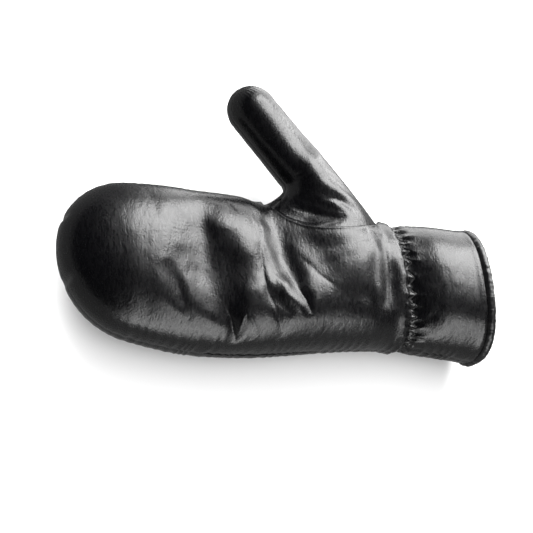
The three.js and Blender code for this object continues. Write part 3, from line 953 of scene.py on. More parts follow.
class LeatherWall:
    """A wall of leather: an outer skin, an inner skin, and the cut edge between them.

    A roll or a thread that runs round and joins itself is made of one tube instead.
    """

    SHARP_ANGLE = math.radians(70)
    SAME_PLACE = 1e-4

    def __init__(self) -> None:
        """Starts with nothing."""
        self.points: list[Array] = []
        self.faces: list[tuple[int, ...]] = []
        self.count = 0

    def add_skin(self, points: Array, kept: Array | None = None, turned: bool = False) -> list[int]:
        """Adds a skin from a grid of points.

        Args:
            points: Points in rows and columns.
            kept: Which of the grid's faces are kept. All are if it is left out.
            turned: Whether the faces look the other way.

        Returns:
            The corners round the skin's edge, in order.
        """
        rows, columns = points.shape[:2]
        ids = np.arange(rows * columns).reshape(rows, columns) + self.count
        for row in (0, rows - 1):
            if np.ptp(points[row], axis=0).max() < self.SAME_PLACE:
                ids[row] = ids[row, 0]
        quads = np.stack([ids[:-1, :-1], ids[:-1, 1:], ids[1:, 1:], ids[1:, :-1]], axis=-1)
        quads = quads[kept] if kept is not None else quads.reshape(-1, 4)
        faces = []
        for quad in quads.tolist():
            corners = list(dict.fromkeys(quad))
            if len(corners) > 2:
                faces.append(tuple(reversed(corners)) if turned else tuple(corners))
        self.points.append(points.reshape(-1, 3))
        self.count += rows * columns
        self.faces += faces
        return self.edge_of(faces)

    def add_tube(self, points: Array, turned: bool = False) -> None:
        """Adds a tube whose last ring joins its first.

        Args:
            points: Points in rings.
            turned: Whether the faces look the other way.
        """
        rings, sides = points.shape[:2]
        ids = np.arange(rings * sides).reshape(rings, sides) + self.count
        following = np.roll(ids, -1, axis=0)
        quads = np.stack([ids, np.roll(ids, -1, axis=1), np.roll(following, -1, axis=1), following],
                         axis=-1).reshape(-1, 4)
        self.points.append(points.reshape(-1, 3))
        self.count += rings * sides
        self.faces += [tuple(quad[::-1] if turned else quad) for quad in quads.tolist()]

    @staticmethod
    def edge_of(faces: list[tuple[int, ...]]) -> list[int]:
        """Follows the open edge of some faces.

        Args:
            faces: The faces, as corners in order.

        Returns:
            The corners of its longest loop.
        """
        sides = {(face[k - 1], face[k]) for face in faces for k in range(len(face))}
        following = {a: b for a, b in sides if (b, a) not in sides}
        longest: list[int] = []
        while following:
            start, at = following.popitem()
            loop = [start]
            while at != start and at in following:
                loop.append(at)
                at = following.pop(at)
            if len(loop) > len(longest):
                longest = loop
        return longest

    def join(self, outer: list[int], inner: list[int]) -> None:
        """Closes the wall between the edges of its two skins.

        Args:
            outer: The outer skin's edge.
            inner: The inner skin's edge, which runs the other way.
        """
        points = np.concatenate(self.points)
        inner = inner[::-1]
        start = int(np.argmin(np.linalg.norm(points[inner] - points[outer[0]], axis=1)))
        inner = inner[start:] + inner[:start]
        i = j = 0
        while i < len(outer) or j < len(inner):
            here, there = outer[i % len(outer)], inner[j % len(inner)]
            next_here, next_there = outer[(i + 1) % len(outer)], inner[(j + 1) % len(inner)]
            by_outer = np.linalg.norm(points[next_here] - points[there])
            by_inner = np.linalg.norm(points[here] - points[next_there])
            if j >= len(inner) or (i < len(outer) and by_outer <= by_inner):
                self.faces.append((next_here, here, there))
                i += 1
            else:
                self.faces.append((here, there, next_there))
                j += 1

    def to_object(self, name: str, material: bpy.types.Material) -> bpy.types.Object:
        """Makes the scene object.

        Args:
            name: Its name.
            material: What it is made of.

        Returns:
            The object, in metres.
        """
        points = np.concatenate(self.points) * METRES
        used = np.unique(np.concatenate([np.array(face) for face in self.faces]))
        renumber = np.full(len(points), -1)
        renumber[used] = np.arange(len(used))
        mesh = bpy.data.meshes.new(name)
        mesh.from_pydata(points[used].tolist(), [], [renumber[list(f)].tolist() for f in self.faces])
        mesh.validate()
        mesh.polygons.foreach_set("use_smooth", [True] * len(mesh.polygons))
        mesh.set_sharp_from_angle(angle=self.SHARP_ANGLE)
        mesh.materials.append(material)
        made = bpy.data.objects.new(name, mesh)
        bpy.context.scene.collection.objects.link(made)
        return made


def settle(piece: bpy.types.Object, slot: str, *nodes: str) -> bpy.types.Object:
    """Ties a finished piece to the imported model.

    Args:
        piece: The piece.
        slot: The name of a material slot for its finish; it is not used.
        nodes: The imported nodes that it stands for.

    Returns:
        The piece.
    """
    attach(piece, ROOT_BODY)
    if nodes:
        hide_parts(*nodes)
    log.info("%s: %d faces", piece.name, len(piece.data.polygons))
    return piece


# Finishes

def linear(hex_colour: str) -> tuple[float, float, float, float]:
    """Turns a colour to linear light.

    Args:
        hex_colour: The sRGB colour, as a hash and six hex digits.

    Returns:
        Red, green, blue and alpha.
    """
    shares = [int(hex_colour[k:k + 2], 16) / 255 for k in (1, 3, 5)]
    red, green, blue = (s / 12.92 if s <= 0.04045 else ((s + 0.055) / 1.055) ** 2.4 for s in shares)
    return red, green, blue, 1.0


def pattern_scale(size_mm: float) -> float:
    """Returns the scale of a pattern whose marks are a size apart in millimetres."""
    return 1 / (size_mm * METRES)


def add_node(tree: bpy.types.NodeTree, kind: str, settings: dict[str, object] | None = None,
             inputs: dict[str, object] | None = None) -> bpy.types.Node:
    """Adds a node with its settings and links.

    Args:
        tree: The tree that gets the node.
        kind: The node's type.
        settings: Its own properties by name.
        inputs: For each input by name, its value or the output that feeds it.

    Returns:
        The node.
    """
    node = tree.nodes.new(kind)
    for name, value in (settings or {}).items():
        setattr(node, name, value)
    for name, value in (inputs or {}).items():
        if isinstance(value, bpy.types.NodeSocket):
            tree.links.new(value, node.inputs[name])
        else:
            node.inputs[name].default_value = value
    return node


def bare_material(name: str) -> bpy.types.Material:
    """Makes a material whose tree has no nodes yet.

    Args:
        name: Its name.

    Returns:
        The material.
    """
    material = bpy.data.materials.new(name)
    material.use_nodes = True
    material.node_tree.nodes.clear()
    return material


@dataclass(frozen=True)
class GlazedLeather:
    """Drum-dyed black nappa with a glazed finish.

    The dye leaves almost no light of its own, so the eye sees the lamps in the glaze. The glaze
    follows the pores and the fine creases across the hand, which break a highlight's edge into
    grain. Real pores are 0.3 to 0.6 mm apart, and here they are drawn coarser so that they show.
    Seen edge on the grain hides most of the glaze, so the gloss fades toward the outline.
    """

    name: str
    colour: str = "#030304"
    roughness: float = 0.27
    coat: float = 0.12
    coat_roughness: float = 0.12
    ior: float = 1.45
    pore_mm: float = 1.0
    pore_depth_mm: float = 0.06
    pore_smoothness: float = 0.6
    crease_mm: float = 1.3
    crease_stretch: float = 0.28
    crease_depth_mm: float = 0.12
    crease_detail: float = 3.0
    crease_roughness: float = 0.6
    crease_distortion: float = 0.4
    swell_mm: float = 7.0
    swell_depth_mm: float = 0.10
    swell_detail: float = 2.0
    dull_creases: tuple[float, float] = (0.3, 0.7)
    dull_spread: tuple[float, float] = (-0.04, 0.06)
    gloss_level: float = 0.5
    grazing_level: float = 0.16
    gloss_fading: tuple[float, float] = (0.45, 0.95)
    coat_fading: tuple[float, float] = (0.45, 0.85)
    facing_blend: float = 0.5

    @staticmethod
    def ranged(tree: bpy.types.NodeTree, value: bpy.types.NodeSocket, span: tuple[float, float],
               first: float, last: float) -> bpy.types.NodeSocket:
        """Maps a value that runs over a span to one that goes from first to last.

        Args:
            tree: The material's tree.
            value: The output that gives the value.
            span: Where the value starts and ends.
            first: What the start of the span becomes.
            last: What its end becomes.

        Returns:
            The output that gives the mapped value.
        """
        change = add_node(tree, "ShaderNodeMapRange", {},
                          {"Value": value, "From Min": span[0], "From Max": span[1],
                           "To Min": first, "To Max": last})
        return change.outputs[0]

    def material(self) -> bpy.types.Material:
        """Makes the material from its sizes.

        Returns:
            The material.
        """
        material = bare_material(self.name)
        tree = material.node_tree
        place = add_node(tree, "ShaderNodeTexCoord").outputs["Object"]
        drawn_out = add_node(tree, "ShaderNodeMapping", {},
                             {"Vector": place, "Scale": (1.0, self.crease_stretch, 1.0)})
        swell = add_node(tree, "ShaderNodeTexNoise", {},
                         {"Vector": place, "Scale": pattern_scale(self.swell_mm),
                         "Detail": self.swell_detail})
        crease = add_node(tree, "ShaderNodeTexNoise", {},
                          {"Vector": drawn_out.outputs[0], "Scale": pattern_scale(self.crease_mm),
                           "Detail": self.crease_detail, "Roughness": self.crease_roughness,
                           "Distortion": self.crease_distortion})
        pore = add_node(tree, "ShaderNodeTexVoronoi", {"feature": "SMOOTH_F1"},
                        {"Vector": place, "Scale": pattern_scale(self.pore_mm),
                         "Smoothness": self.pore_smoothness})
        low = add_node(tree, "ShaderNodeBump", {},
                       {"Height": swell.outputs[0], "Distance": self.swell_depth_mm * METRES})
        middle = add_node(tree, "ShaderNodeBump", {},
                          {"Height": crease.outputs[0], "Normal": low.outputs[0],
                           "Distance": self.crease_depth_mm * METRES})
        high = add_node(tree, "ShaderNodeBump", {},
                        {"Height": pore.outputs["Distance"], "Normal": middle.outputs[0],
                         "Distance": self.pore_depth_mm * METRES})
        dullness = self.ranged(tree, crease.outputs[0], self.dull_creases,
                               self.roughness + self.dull_spread[0],
                               self.roughness + self.dull_spread[1])
        facing = add_node(tree, "ShaderNodeLayerWeight", {}, {"Blend": self.facing_blend})
        level = self.ranged(tree, facing.outputs["Facing"], self.gloss_fading,
                            self.gloss_level, self.grazing_level)
        coat = self.ranged(tree, facing.outputs["Facing"], self.coat_fading, self.coat, 0.0)
        skin = add_node(tree, "ShaderNodeBsdfPrincipled", {},
                        {"Base Color": linear(self.colour), "Roughness": dullness, "IOR": self.ior,
                         "Specular IOR Level": level, "Coat Weight": coat, "Coat IOR": self.ior,
                         "Coat Roughness": self.coat_roughness,
                         "Normal": high.outputs[0], "Coat Normal": high.outputs[0]})
        add_node(tree, "ShaderNodeOutputMaterial", {}, {"Surface": skin.outputs[0]})
        return material


@dataclass(frozen=True)
class SewingThread:
    """Black spun polyester thread, whose twist gives it a soft sheen.

    The real twist is about a millimetre long, and here it is drawn longer so that it shows. The
    wave that draws it turns ten radians for each step along an axis.
    """

    WAVE_TURN = 10.0

    name: str = "spun_polyester_thread"
    colour: str = "#101010"
    roughness: float = 0.45
    ior: float = 1.5
    twist_mm: float = 6.53
    twist_depth_mm: float = 0.05
    twist_distortion: float = 1.0

    def material(self) -> bpy.types.Material:
        """Makes the material from its sizes.

        Returns:
            The material.
        """
        material = bare_material(self.name)
        tree = material.node_tree
        place = add_node(tree, "ShaderNodeTexCoord").outputs["Object"]
        step = pattern_scale(self.twist_mm) * 2 * math.pi / math.sqrt(3) / self.WAVE_TURN
        twist = add_node(tree, "ShaderNodeTexWave", {"bands_direction": "DIAGONAL"},
                         {"Vector": place, "Scale": step, "Distortion": self.twist_distortion})
        bump = add_node(tree, "ShaderNodeBump", {},
                        {"Height": twist.outputs["Fac"], "Distance": self.twist_depth_mm * METRES})
        skin = add_node(tree, "ShaderNodeBsdfPrincipled", {},
                        {"Base Color": linear(self.colour), "Roughness": self.roughness,
                         "IOR": self.ior, "Normal": bump.outputs[0]})
        add_node(tree, "ShaderNodeOutputMaterial", {}, {"Surface": skin.outputs[0]})
        return material


@dataclass(frozen=True)
class PaperFloor:
    """Matt white background paper, which scatters light without any shine."""

    name: str = "matt_white_paper"
    colour: str = "#f4f4f4"

    def material(self) -> bpy.types.Material:
        """Makes the material.

        Returns:
            The material.
        """
        material = bare_material(self.name)
        tree = material.node_tree
        sheet = add_node(tree, "ShaderNodeBsdfDiffuse", {}, {"Color": linear(self.colour)})
        add_node(tree, "ShaderNodeOutputMaterial", {}, {"Surface": sheet.outputs[0]})
        return material


# The pieces

@dataclass
class Panels:
    """The palm and the back of hand and cuff, with the hole that the thumb is sewn to."""

    hand: HandForm
    ring: ThumbRing
    palm_columns: int = 216
    back_columns: int = 130
    tip_rows: int = 44
    body_step: float = 0.78
    wrist_step: float = 0.45
    wrist_off: float = 1.0
    wrist_reach: float = 13.0
    spacing_samples: int = 4000
    inner_step: int = 3
    snap: float = 0.55
    seam_margin: float = 4.0

    def row_places(self) -> Array:
        """Spaces the rows, close at the fingertips and at the wrist.

        Returns:
            The rows' places along the mitten.
        """
        sizes = self.hand.sizes
        tip_end = self.hand.tip_round_little * sizes.hand_length
        quarter_turn = np.arange(self.tip_rows) / self.tip_rows * math.pi / 2
        tip = sizes.tip_x + tip_end * (1 - np.cos(quarter_turn))
        fine = np.linspace(sizes.tip_x + tip_end, sizes.cuff_x, self.spacing_samples)
        closer = bell((fine - sizes.wrist_x - self.wrist_off) / self.wrist_reach)
        density = between(1 / self.body_step, 1 / self.wrist_step, closer)
        rows_to = np.concatenate([[0.0], np.cumsum((density[1:] + density[:-1]) / 2 * np.diff(fine))])
        count = int(round(rows_to[-1]))
        body = np.interp(np.linspace(0.0, rows_to[-1], count + 1), rows_to, fine)
        return np.concatenate([tip, body])

    def grid(self, start: float, end: float, columns: int, step: int) -> tuple[Array, Array, Array]:
        """Lays out a panel's corners, moved onto the thumb's seam where they are close to it.

        Args:
            start: The first column's angle.
            end: The last column's angle.
            columns: How many columns the finest grid has.
            step: How many of its steps this grid takes at once.

        Returns:
            The places along and round the hand, and which faces are kept.
        """
        rows = self.row_places()
        rows = rows[np.unique(np.append(np.arange(0, len(rows), step), len(rows) - 1))]
        angles = np.linspace(start, end, columns // step + 1)
        x, angle = (grid.copy() for grid in np.meshgrid(rows, angles, indexing="ij"))
        ring = self.ring
        margin = self.seam_margin
        near = (x > ring.x.min() - margin) & (x < ring.x.max() + margin)
        near &= np.abs(angle) < np.abs(ring.angle).max() + margin / self.hand.radius
        off, to_x, to_angle = ring.nearest(x[near], angle[near])
        cell = step * max(self.body_step, math.pi / columns * self.hand.radius)
        close = off < self.snap * cell
        on_seam = angle[near] == 0.0
        x[near] = np.where(close, to_x, x[near])
        angle[near] = np.where(close & ~on_seam, to_angle, angle[near])
        middle_x = (x[:-1, :-1] + x[1:, :-1] + x[:-1, 1:] + x[1:, 1:]) / 4
        middle_angle = (angle[:-1, :-1] + angle[1:, :-1] + angle[:-1, 1:] + angle[1:, 1:]) / 4
        return x, angle, ~ring.inside(middle_x, middle_angle)

    def panel(self, name: str, start: float, end: float, columns: int, lift: float,
              material: bpy.types.Material) -> bpy.types.Object:
        """Builds one panel as a wall of leather.

        Args:
            name: The object's name.
            start: The first column's angle.
            end: The last column's angle.
            columns: How many columns it has.
            lift: How far it is moved up, clear of its neighbour.
            material: What it is made of.

        Returns:
            The panel.
        """
        wall = LeatherWall()
        raised = np.array([0.0, 0.0, lift])
        x, angle, kept = self.grid(start, end, columns, 1)
        outer = wall.add_skin(self.hand.outer(x, angle) + raised, kept)
        x, angle, kept = self.grid(start, end, columns, self.inner_step)
        inner = wall.add_skin(self.hand.inner(x, angle) + raised, kept, turned=True)
        wall.join(outer, inner)
        return wall.to_object(name, material)

    def build(self, leather: bpy.types.Material) -> None:
        """Builds the palm and the back.

        Args:
            leather: What they are made of.
        """
        gap = self.hand.sizes.seam_gap / 2
        palm = self.panel("palm_leather", 0.0, math.pi, self.palm_columns, gap, leather)
        settle(palm, "nappa_leather", "palm_panel")
        back = self.panel("back_leather", -math.pi, 0.0, self.back_columns, 0.0, leather)
        settle(back, "nappa_leather", "back_panel")


@dataclass(frozen=True)
class ThumbSection:
    """A section of the thumb outside the hand, in shares of its reach, width and depth."""

    reach: float
    wide: float
    deep: float
    aside: float


THUMB_SECTIONS = (
    ThumbSection(0.30, 1.02, 1.12, 0.01),
    ThumbSection(0.50, 1.00, 1.03, 0.00),
    ThumbSection(0.75, 1.00, 1.00, 0.00),
    ThumbSection(1.00, 0.98, 0.96, 0.00),
)

# Folds of the thumb, whose lines' places are shares of its length from its seam and of a turn
# from the cuff side over the front. A knot's first reach is toward the crotch where its line runs
# to the tip.
THUMB_FOLDS = (
    Fold(((0.130, 0.430, 0.0, 2.2, 2.4), (0.120, 0.370, -1.0, 2.2, 2.4),
          (0.080, 0.310, -1.3, 2.2, 2.4), (0.045, 0.260, -1.0, 2.2, 2.2),
          (0.015, 0.220, 0.0, 2.2, 2.0))),
    Fold(((0.220, 0.400, 0.0, 2.4, 2.6), (0.180, 0.300, -1.0, 2.4, 2.8),
          (0.135, 0.230, -1.3, 2.4, 2.8), (0.085, 0.180, -0.9, 2.2, 2.4),
          (0.030, 0.130, 0.0, 2.2, 2.2))),
    Fold(((0.270, 0.270, 0.0, 2.4, 2.6), (0.225, 0.180, -0.9, 2.4, 2.6),
          (0.160, 0.120, -0.9, 2.4, 2.4), (0.080, 0.070, 0.0, 2.2, 2.2))),
    Fold(((0.190, 0.440, 0.0, 1.8, 2.0), (0.165, 0.360, -0.7, 1.8, 2.0),
          (0.110, 0.280, -0.8, 1.8, 2.0), (0.060, 0.215, 0.0, 1.8, 2.0))),
    Fold(((0.430, 0.090, 0.0, 12, 6), (0.440, 0.150, -1.5, 22, 8), (0.445, 0.220, -2.0, 26, 8),
          (0.440, 0.300, -1.3, 24, 8), (0.430, 0.380, 0.0, 18, 7))),
    Fold(((0.350, 0.260, 0.0, 4, 4), (0.310, 0.200, -0.7, 4, 4), (0.280, 0.140, -0.7, 4, 4),
          (0.270, 0.080, 0.0, 4, 4))),
    Fold(((0.020, 0.420, -1.5, 8, 8), (0.060, 0.370, -2.4, 9, 9), (0.110, 0.330, -1.6, 9, 9),
          (0.180, 0.300, 0.0, 8, 8))),
    Fold(((0.300, 0.440, 0.0, 1.2, 1.2), (0.295, 0.380, -0.5, 1.2, 1.2),
          (0.285, 0.320, 0.0, 1.2, 1.2)), Profile.SHARP),
    Fold(((0.335, 0.420, 0.0, 1.0, 1.0), (0.325, 0.370, -0.4, 1.0, 1.0),
          (0.318, 0.320, 0.0, 1.0, 1.0)), Profile.SHARP),
)


@dataclass
class Thumb:
    """The thumb: a front and a back leaf, and the small gusset let into its crotch.

    Lengths are millimetres, and the aim, the rise and the slants are degrees. The aim is turned
    from +X, and the rise from level. The root is in shares of the hand's length, width and depth.
    """

    ring: ThumbRing
    reach: float = 86.0
    width: float = 30.0
    depth: float = 28.0
    aim: float = 133.5
    rise: float = 3.0
    root: tuple[float, float, float] = (0.7925, 0.447, 0.61)
    slant_side: float = 12.0
    slant_cuff: float = 44.0
    slant_crotch: float = 15.0
    gusset_length: float = 13.0
    gusset_width: float = 9.0
    gusset_reach: float = 0.85
    base_rows: int = 70
    free_rows: int = 110
    around: int = 96
    gusset_rows: int = 24
    seam_depth: float = 0.18
    seam_reach: float = 0.7
    seam_calm: float = 4.0
    coarse: Ripple = Ripple(0.14, 14.0, 13.0, 3.0, 8.0)
    fine: Ripple = Ripple(0.06, 5.0, 7.0, 17.0, 5.0)
    crinkle_depth: float = 0.04
    crinkles: Ripple = Ripple(1.0, 2.6, 8.0, 6.0, 9.0)
    tip_puckers: int = 34
    pucker_depth: float = 0.12
    pucker_off: float = 4.0
    pucker_reach: float = 4.0
    wall_turn: float = 0.6
    base_length: float = 30.0
    step: float = 0.0087
    near_tip: float = 1.999

    def __post_init__(self) -> None:
        """Works out the thumb's directions and its root."""
        hand = self.ring.hand
        sizes = hand.sizes
        aim, rise = math.radians(self.aim), math.radians(self.rise)
        self.axis = np.array([math.cos(aim) * math.cos(rise), math.sin(aim) * math.cos(rise),
                              math.sin(rise)])
        self.side = unit(np.cross(self.axis, [0.0, 0.0, 1.0]))
        self.up = np.cross(self.side, self.axis)
        along, across, height = self.root
        self.start_point = np.array([sizes.along(along), across * sizes.hand_width,
                                     height * sizes.hand_depth])
        self.knots = np.array([row.reach for row in THUMB_SECTIONS])
        self.gusset_end = self.gusset_length / (self.knots[0] * self.reach)
        self.rumple = Rumple(Seed.THUMB)
        free_length = (1 - self.knots[0]) * self.reach
        self.lengths = np.array([0.0, self.base_length, self.base_length + free_length])
        self.folds = FoldField(THUMB_FOLDS, self.lengths[-1], math.pi * self.width, Seed.THUMB_FOLDS)

    def size(self, name: str, reach: Array) -> Array:
        """Reads one of the thumb's section sizes at a share of its reach."""
        values = np.array([getattr(row, name) for row in THUMB_SECTIONS])
        return curve_through(self.knots, values, reach)

    def free(self, reach: Array, turn: Array) -> Array:
        """Returns points of the thumb outside the hand.

        Args:
            reach: Shares of the thumb's reach.
            turn: Turns round the thumb in radians.

        Returns:
            The points, with their coordinates on a last axis.
        """
        closing = np.clip(1 - (1 - reach) * self.reach / (self.width / 2), 0, 1)
        wide = np.sqrt(1 - closing ** 2)
        side = np.cos(turn) * self.size("wide", reach) * self.width / 2 * wide
        up = np.sin(turn) * self.size("deep", reach) * self.depth / 2 * wide
        side = side + self.size("aside", reach) * self.width
        return (self.start_point + self.axis * (reach * self.reach)[..., None]
                + self.side * side[..., None] + self.up * up[..., None])

    def base(self, share: Array, turn: Array) -> Array:
        """Returns points between the seam on the hand and the first free section.

        Args:
            share: Nought at the seam, one at the free section.
            turn: Turns round the thumb in radians.

        Returns:
            The points.
        """
        hand = self.ring.hand
        place = self.ring.place(turn / (2 * math.pi))
        start = hand.outer(*place)
        normal = hand.normal(*place)
        end = self.free(np.full(turn.shape, self.knots[0]), turn)
        inward = self.ring.centre - start
        inward = unit(inward - normal * dot(inward, normal))
        corner = np.where(np.cos(turn) > 0, self.slant_cuff, self.slant_crotch)
        slant = np.radians(between(self.slant_side, corner, np.cos(turn) ** 2))[..., None]
        gap = np.linalg.norm(end - start, axis=-1, keepdims=True)
        leave = (inward * np.cos(slant) + normal * np.sin(slant)) * gap
        arrive = self.axis * gap
        t = share[..., None]
        return start * (1 - ease(t)) + end * ease(t) + leave * t * (1 - t) ** 2 + arrive * t * t * (t - 1)

    def form(self, place: Array, turn: Array) -> Array:
        """Returns points of the thumb's smooth form.

        Args:
            place: Places from the seam (0) over the first free section (1) to the tip (2).
            turn: Turns round the thumb in radians.

        Returns:
            The points, with their coordinates on a last axis.
        """
        place, turn = np.broadcast_arrays(place, turn)
        low = self.base(np.clip(place, 0, 1), turn)
        high = self.free(between(self.knots[0], 1.0, np.clip(place - 1, 0, 1)), turn)
        return np.where((place < 1)[..., None], low, high)

    def normal(self, place: Array, turn: Array) -> Array:
        """Returns the thumb's outward directions.

        Args:
            place: Places from the seam (0) to the tip (2).
            turn: Turns round the thumb in radians.

        Returns:
            The directions, with their coordinates on a last axis.
        """
        lengthwise = (self.form(np.minimum(place + self.step, 2), turn)
                      - self.form(np.maximum(place - self.step, 0), turn))
        turned = self.form(place, turn + self.step) - self.form(place, turn - self.step)
        found = unit(-np.cross(turned, lengthwise))
        place = np.broadcast_to(place, found.shape[:-1])
        return np.where((place >= self.near_tip)[..., None], self.axis, found)

    def wall_direction(self, place: Array, turn: Array) -> Array:
        """Returns the directions through the wall, square to the hand along the seam.

        Args:
            place: Places from the seam (0) to the tip (2).
            turn: Turns round the thumb in radians.

        Returns:
            The directions, with their coordinates on a last axis.
        """
        place, turn = np.broadcast_arrays(place, turn)
        share = eased(place / self.wall_turn)[..., None]
        hand = self.ring.hand.normal(*self.ring.place(turn / (2 * math.pi)))
        return unit(hand * (1 - share) + self.normal(place, turn) * share)

    def gusset_spread(self, place: Array) -> Array:
        """Returns half the gusset's spread in radians."""
        return self.gusset_width / self.width * np.clip(1 - place / self.gusset_end, 0, 1)

    def relief(self, place: Array, turn: Array) -> Array:
        """Returns the height of the thumb's wrinkles and seams.

        Args:
            place: Places from the seam (0) to the tip (2).
            turn: Turns round the thumb in radians.

        Returns:
            The heights in millimetres.
        """
        along = np.interp(place, [0.0, 1.0, 2.0], self.lengths)
        around = turn * self.width / 2
        wrinkles = self.folds.height(along, around)
        coarse = self.coarse.read(self.rumple, along, around)
        fine = self.fine.read(self.rumple, along, around)
        lines = sharpened(self.crinkles.read(self.rumple, along, around))
        shown = np.clip(along / self.seam_calm, 0, 1)
        off_seam = np.abs(np.sin(turn)) * self.width / 2
        seam = -self.seam_depth * bell(off_seam / self.seam_reach)
        to_tip = self.lengths[-1] - along
        puckers = sharpened(np.sin(self.tip_puckers / 2 * turn))
        puckers = self.pucker_depth * puckers * bell((to_tip - self.pucker_off) / self.pucker_reach)
        return (wrinkles + coarse + fine + self.crinkle_depth * lines + seam + puckers) * shown

    def leaf(self, name: str, places: Array, low: Array, high: Array, columns: int, lift: float,
             material: bpy.types.Material) -> bpy.types.Object:
        """Builds a piece of the thumb's wall.

        Args:
            name: The object's name.
            places: Its rows, from the seam toward the tip.
            low: Each row's first turn, the larger one.
            high: Each row's last turn.
            columns: How many columns it has.
            lift: How far it is moved toward the palm, clear of its neighbour.
            material: What it is made of.

        Returns:
            The piece.
        """
        share = np.linspace(0, 1, columns + 1)[None, :]
        turn = low[:, None] + (high - low)[:, None] * share
        place = np.broadcast_to(places[:, None], turn.shape)
        height = self.relief(place, turn)[..., None]
        direction = self.wall_direction(place, turn)
        outer = self.form(place, turn) + self.normal(place, turn) * height + self.up * lift
        inner = outer - direction * self.ring.hand.sizes.wall
        wall = LeatherWall()
        outer_edge = wall.add_skin(outer)
        inner_edge = wall.add_skin(inner, turned=True)
        wall.join(outer_edge, inner_edge)
        return wall.to_object(name, material)

    def build(self, leather: bpy.types.Material) -> None:
        """Builds the two leaves and the gusset.

        Args:
            leather: What they are made of.
        """
        base = np.arange(self.base_rows) / self.base_rows
        free = 1 + np.sin(np.arange(self.free_rows + 1) / self.free_rows * math.pi / 2)
        places = np.concatenate([base, free])
        gap = self.ring.hand.sizes.seam_gap
        room = np.where(places < self.gusset_end, gap / self.width, 0.0)
        spread = self.gusset_spread(places)
        nought = np.zeros(places.shape)
        front = self.leaf("thumb_front_leather", places, math.pi - spread - room, nought,
                          self.around, gap / 2, leather)
        settle(front, "nappa_leather", "thumb_front")
        back = self.leaf("thumb_back_leather", places, nought + 2 * math.pi,
                         math.pi + spread + room, self.around, 0.0, leather)
        settle(back, "nappa_leather", "thumb_back")
        places = self.gusset_reach * self.gusset_end * np.arange(self.gusset_rows + 1) / self.gusset_rows
        spread = self.gusset_spread(places) - gap / self.width
        gusset = self.leaf("gusset_leather", places, math.pi + spread, math.pi - spread,
                           self.gusset_rows, gap / 4, leather)
        settle(gusset, "nappa_leather", "thumb_gusset")


@dataclass
class CuffBinding:
    """The rolled leather binding sewn round the cuff's mouth.

    Lengths are millimetres. The overlap of its two ends runs between two angles in radians.
    """

    hand: HandForm
    radius: float = 3.25
    inset: float = 2.3
    around: int = 900
    roll: int = 28
    creases: tuple[Ripple, ...] = (
        Ripple(0.20, 1 / 20.8, 1 / 0.6, 4.0, 3.0),
        Ripple(0.12, 1 / 59.2, 1 / 1.2, 9.0, 13.0),
    )
    overlap: tuple[float, float] = (3.30, 3.62)
    overlap_height: float = 0.45
    overlap_edge: float = 0.02
    pressed_in: float = 0.7

    def build(self, leather: bpy.types.Material) -> None:
        """Builds the roll.

        Args:
            leather: What it is made of.
        """
        sizes = self.hand.sizes
        angle = np.arange(self.around) / self.around * 2 * math.pi
        x = np.full(angle.shape, sizes.cuff_x)
        normal = self.hand.normal(x, angle)
        normal[:, 0] = 0
        normal = unit(normal)
        centre = self.hand.form(x, angle) - normal * self.inset
        centre[:, 0] += self.radius + sizes.seam_gap - self.pressed_in
        roll = np.arange(self.roll) / self.roll * 2 * math.pi
        rumple = Rumple(Seed.BINDING)
        creases = sum(crease.read(rumple, angle[:, None], roll[None, :]) for crease in self.creases)
        first, last = self.overlap
        laid = falling((first - angle) / self.overlap_edge) * falling((angle - last) / self.overlap_edge)
        radius = self.radius + creases + laid[:, None] * self.overlap_height
        points = centre[:, None, :] + normal[:, None, :] * (radius * np.cos(roll))[..., None]
        points[..., 0] -= radius * np.sin(roll)
        points[..., 2] = np.maximum(points[..., 2], 0.0)
        wall = LeatherWall()
        wall.add_tube(points)
        binding = wall.to_object("binding_leather", leather)
        settle(binding, "binding_leather", "cuff_binding")


@dataclass
class ElasticStitching:
    """The zigzag of thread that holds the wrist's elastic."""

    hand: HandForm
    thread_radius: float = 0.42
    lifted: float = 0.5
    steps: int = 20
    sides: int = 8

    def build(self, thread: bpy.types.Material) -> None:
        """Builds the thread as a thin tube on the leather.

        Args:
            thread: What it is made of.
        """
        count = self.hand.zigzags * self.steps
        angle = np.arange(count) / count * 2 * math.pi
        x = self.hand.sizes.wrist_x + self.hand.zigzag(angle)
        lift = self.thread_radius * self.lifted
        line = self.hand.outer(x, angle) + self.hand.normal(x, angle) * lift
        line[:, 2] = np.maximum(line[:, 2], self.thread_radius)
        along = unit(np.roll(line, -1, axis=0) - np.roll(line, 1, axis=0))
        up = self.hand.normal(x, angle)
        across = unit(np.cross(along, up))
        up = np.cross(across, along)
        round_it = np.arange(self.sides) / self.sides * 2 * math.pi
        ring = (across[:, None, :] * np.cos(round_it)[None, :, None]
                + up[:, None, :] * np.sin(round_it)[None, :, None]) * self.thread_radius
        tube = LeatherWall()
        tube.add_tube(line[:, None, :] + ring, turned=True)
        stitching = tube.to_object("elastic_thread", thread)
        settle(stitching, "nappa_leather")


# The studio

class Reach(Enum):
    """What a light reaches: the glaze, where it is seen as a highlight, or what is matt."""

    GLAZE = "glaze"
    MATT = "matt"


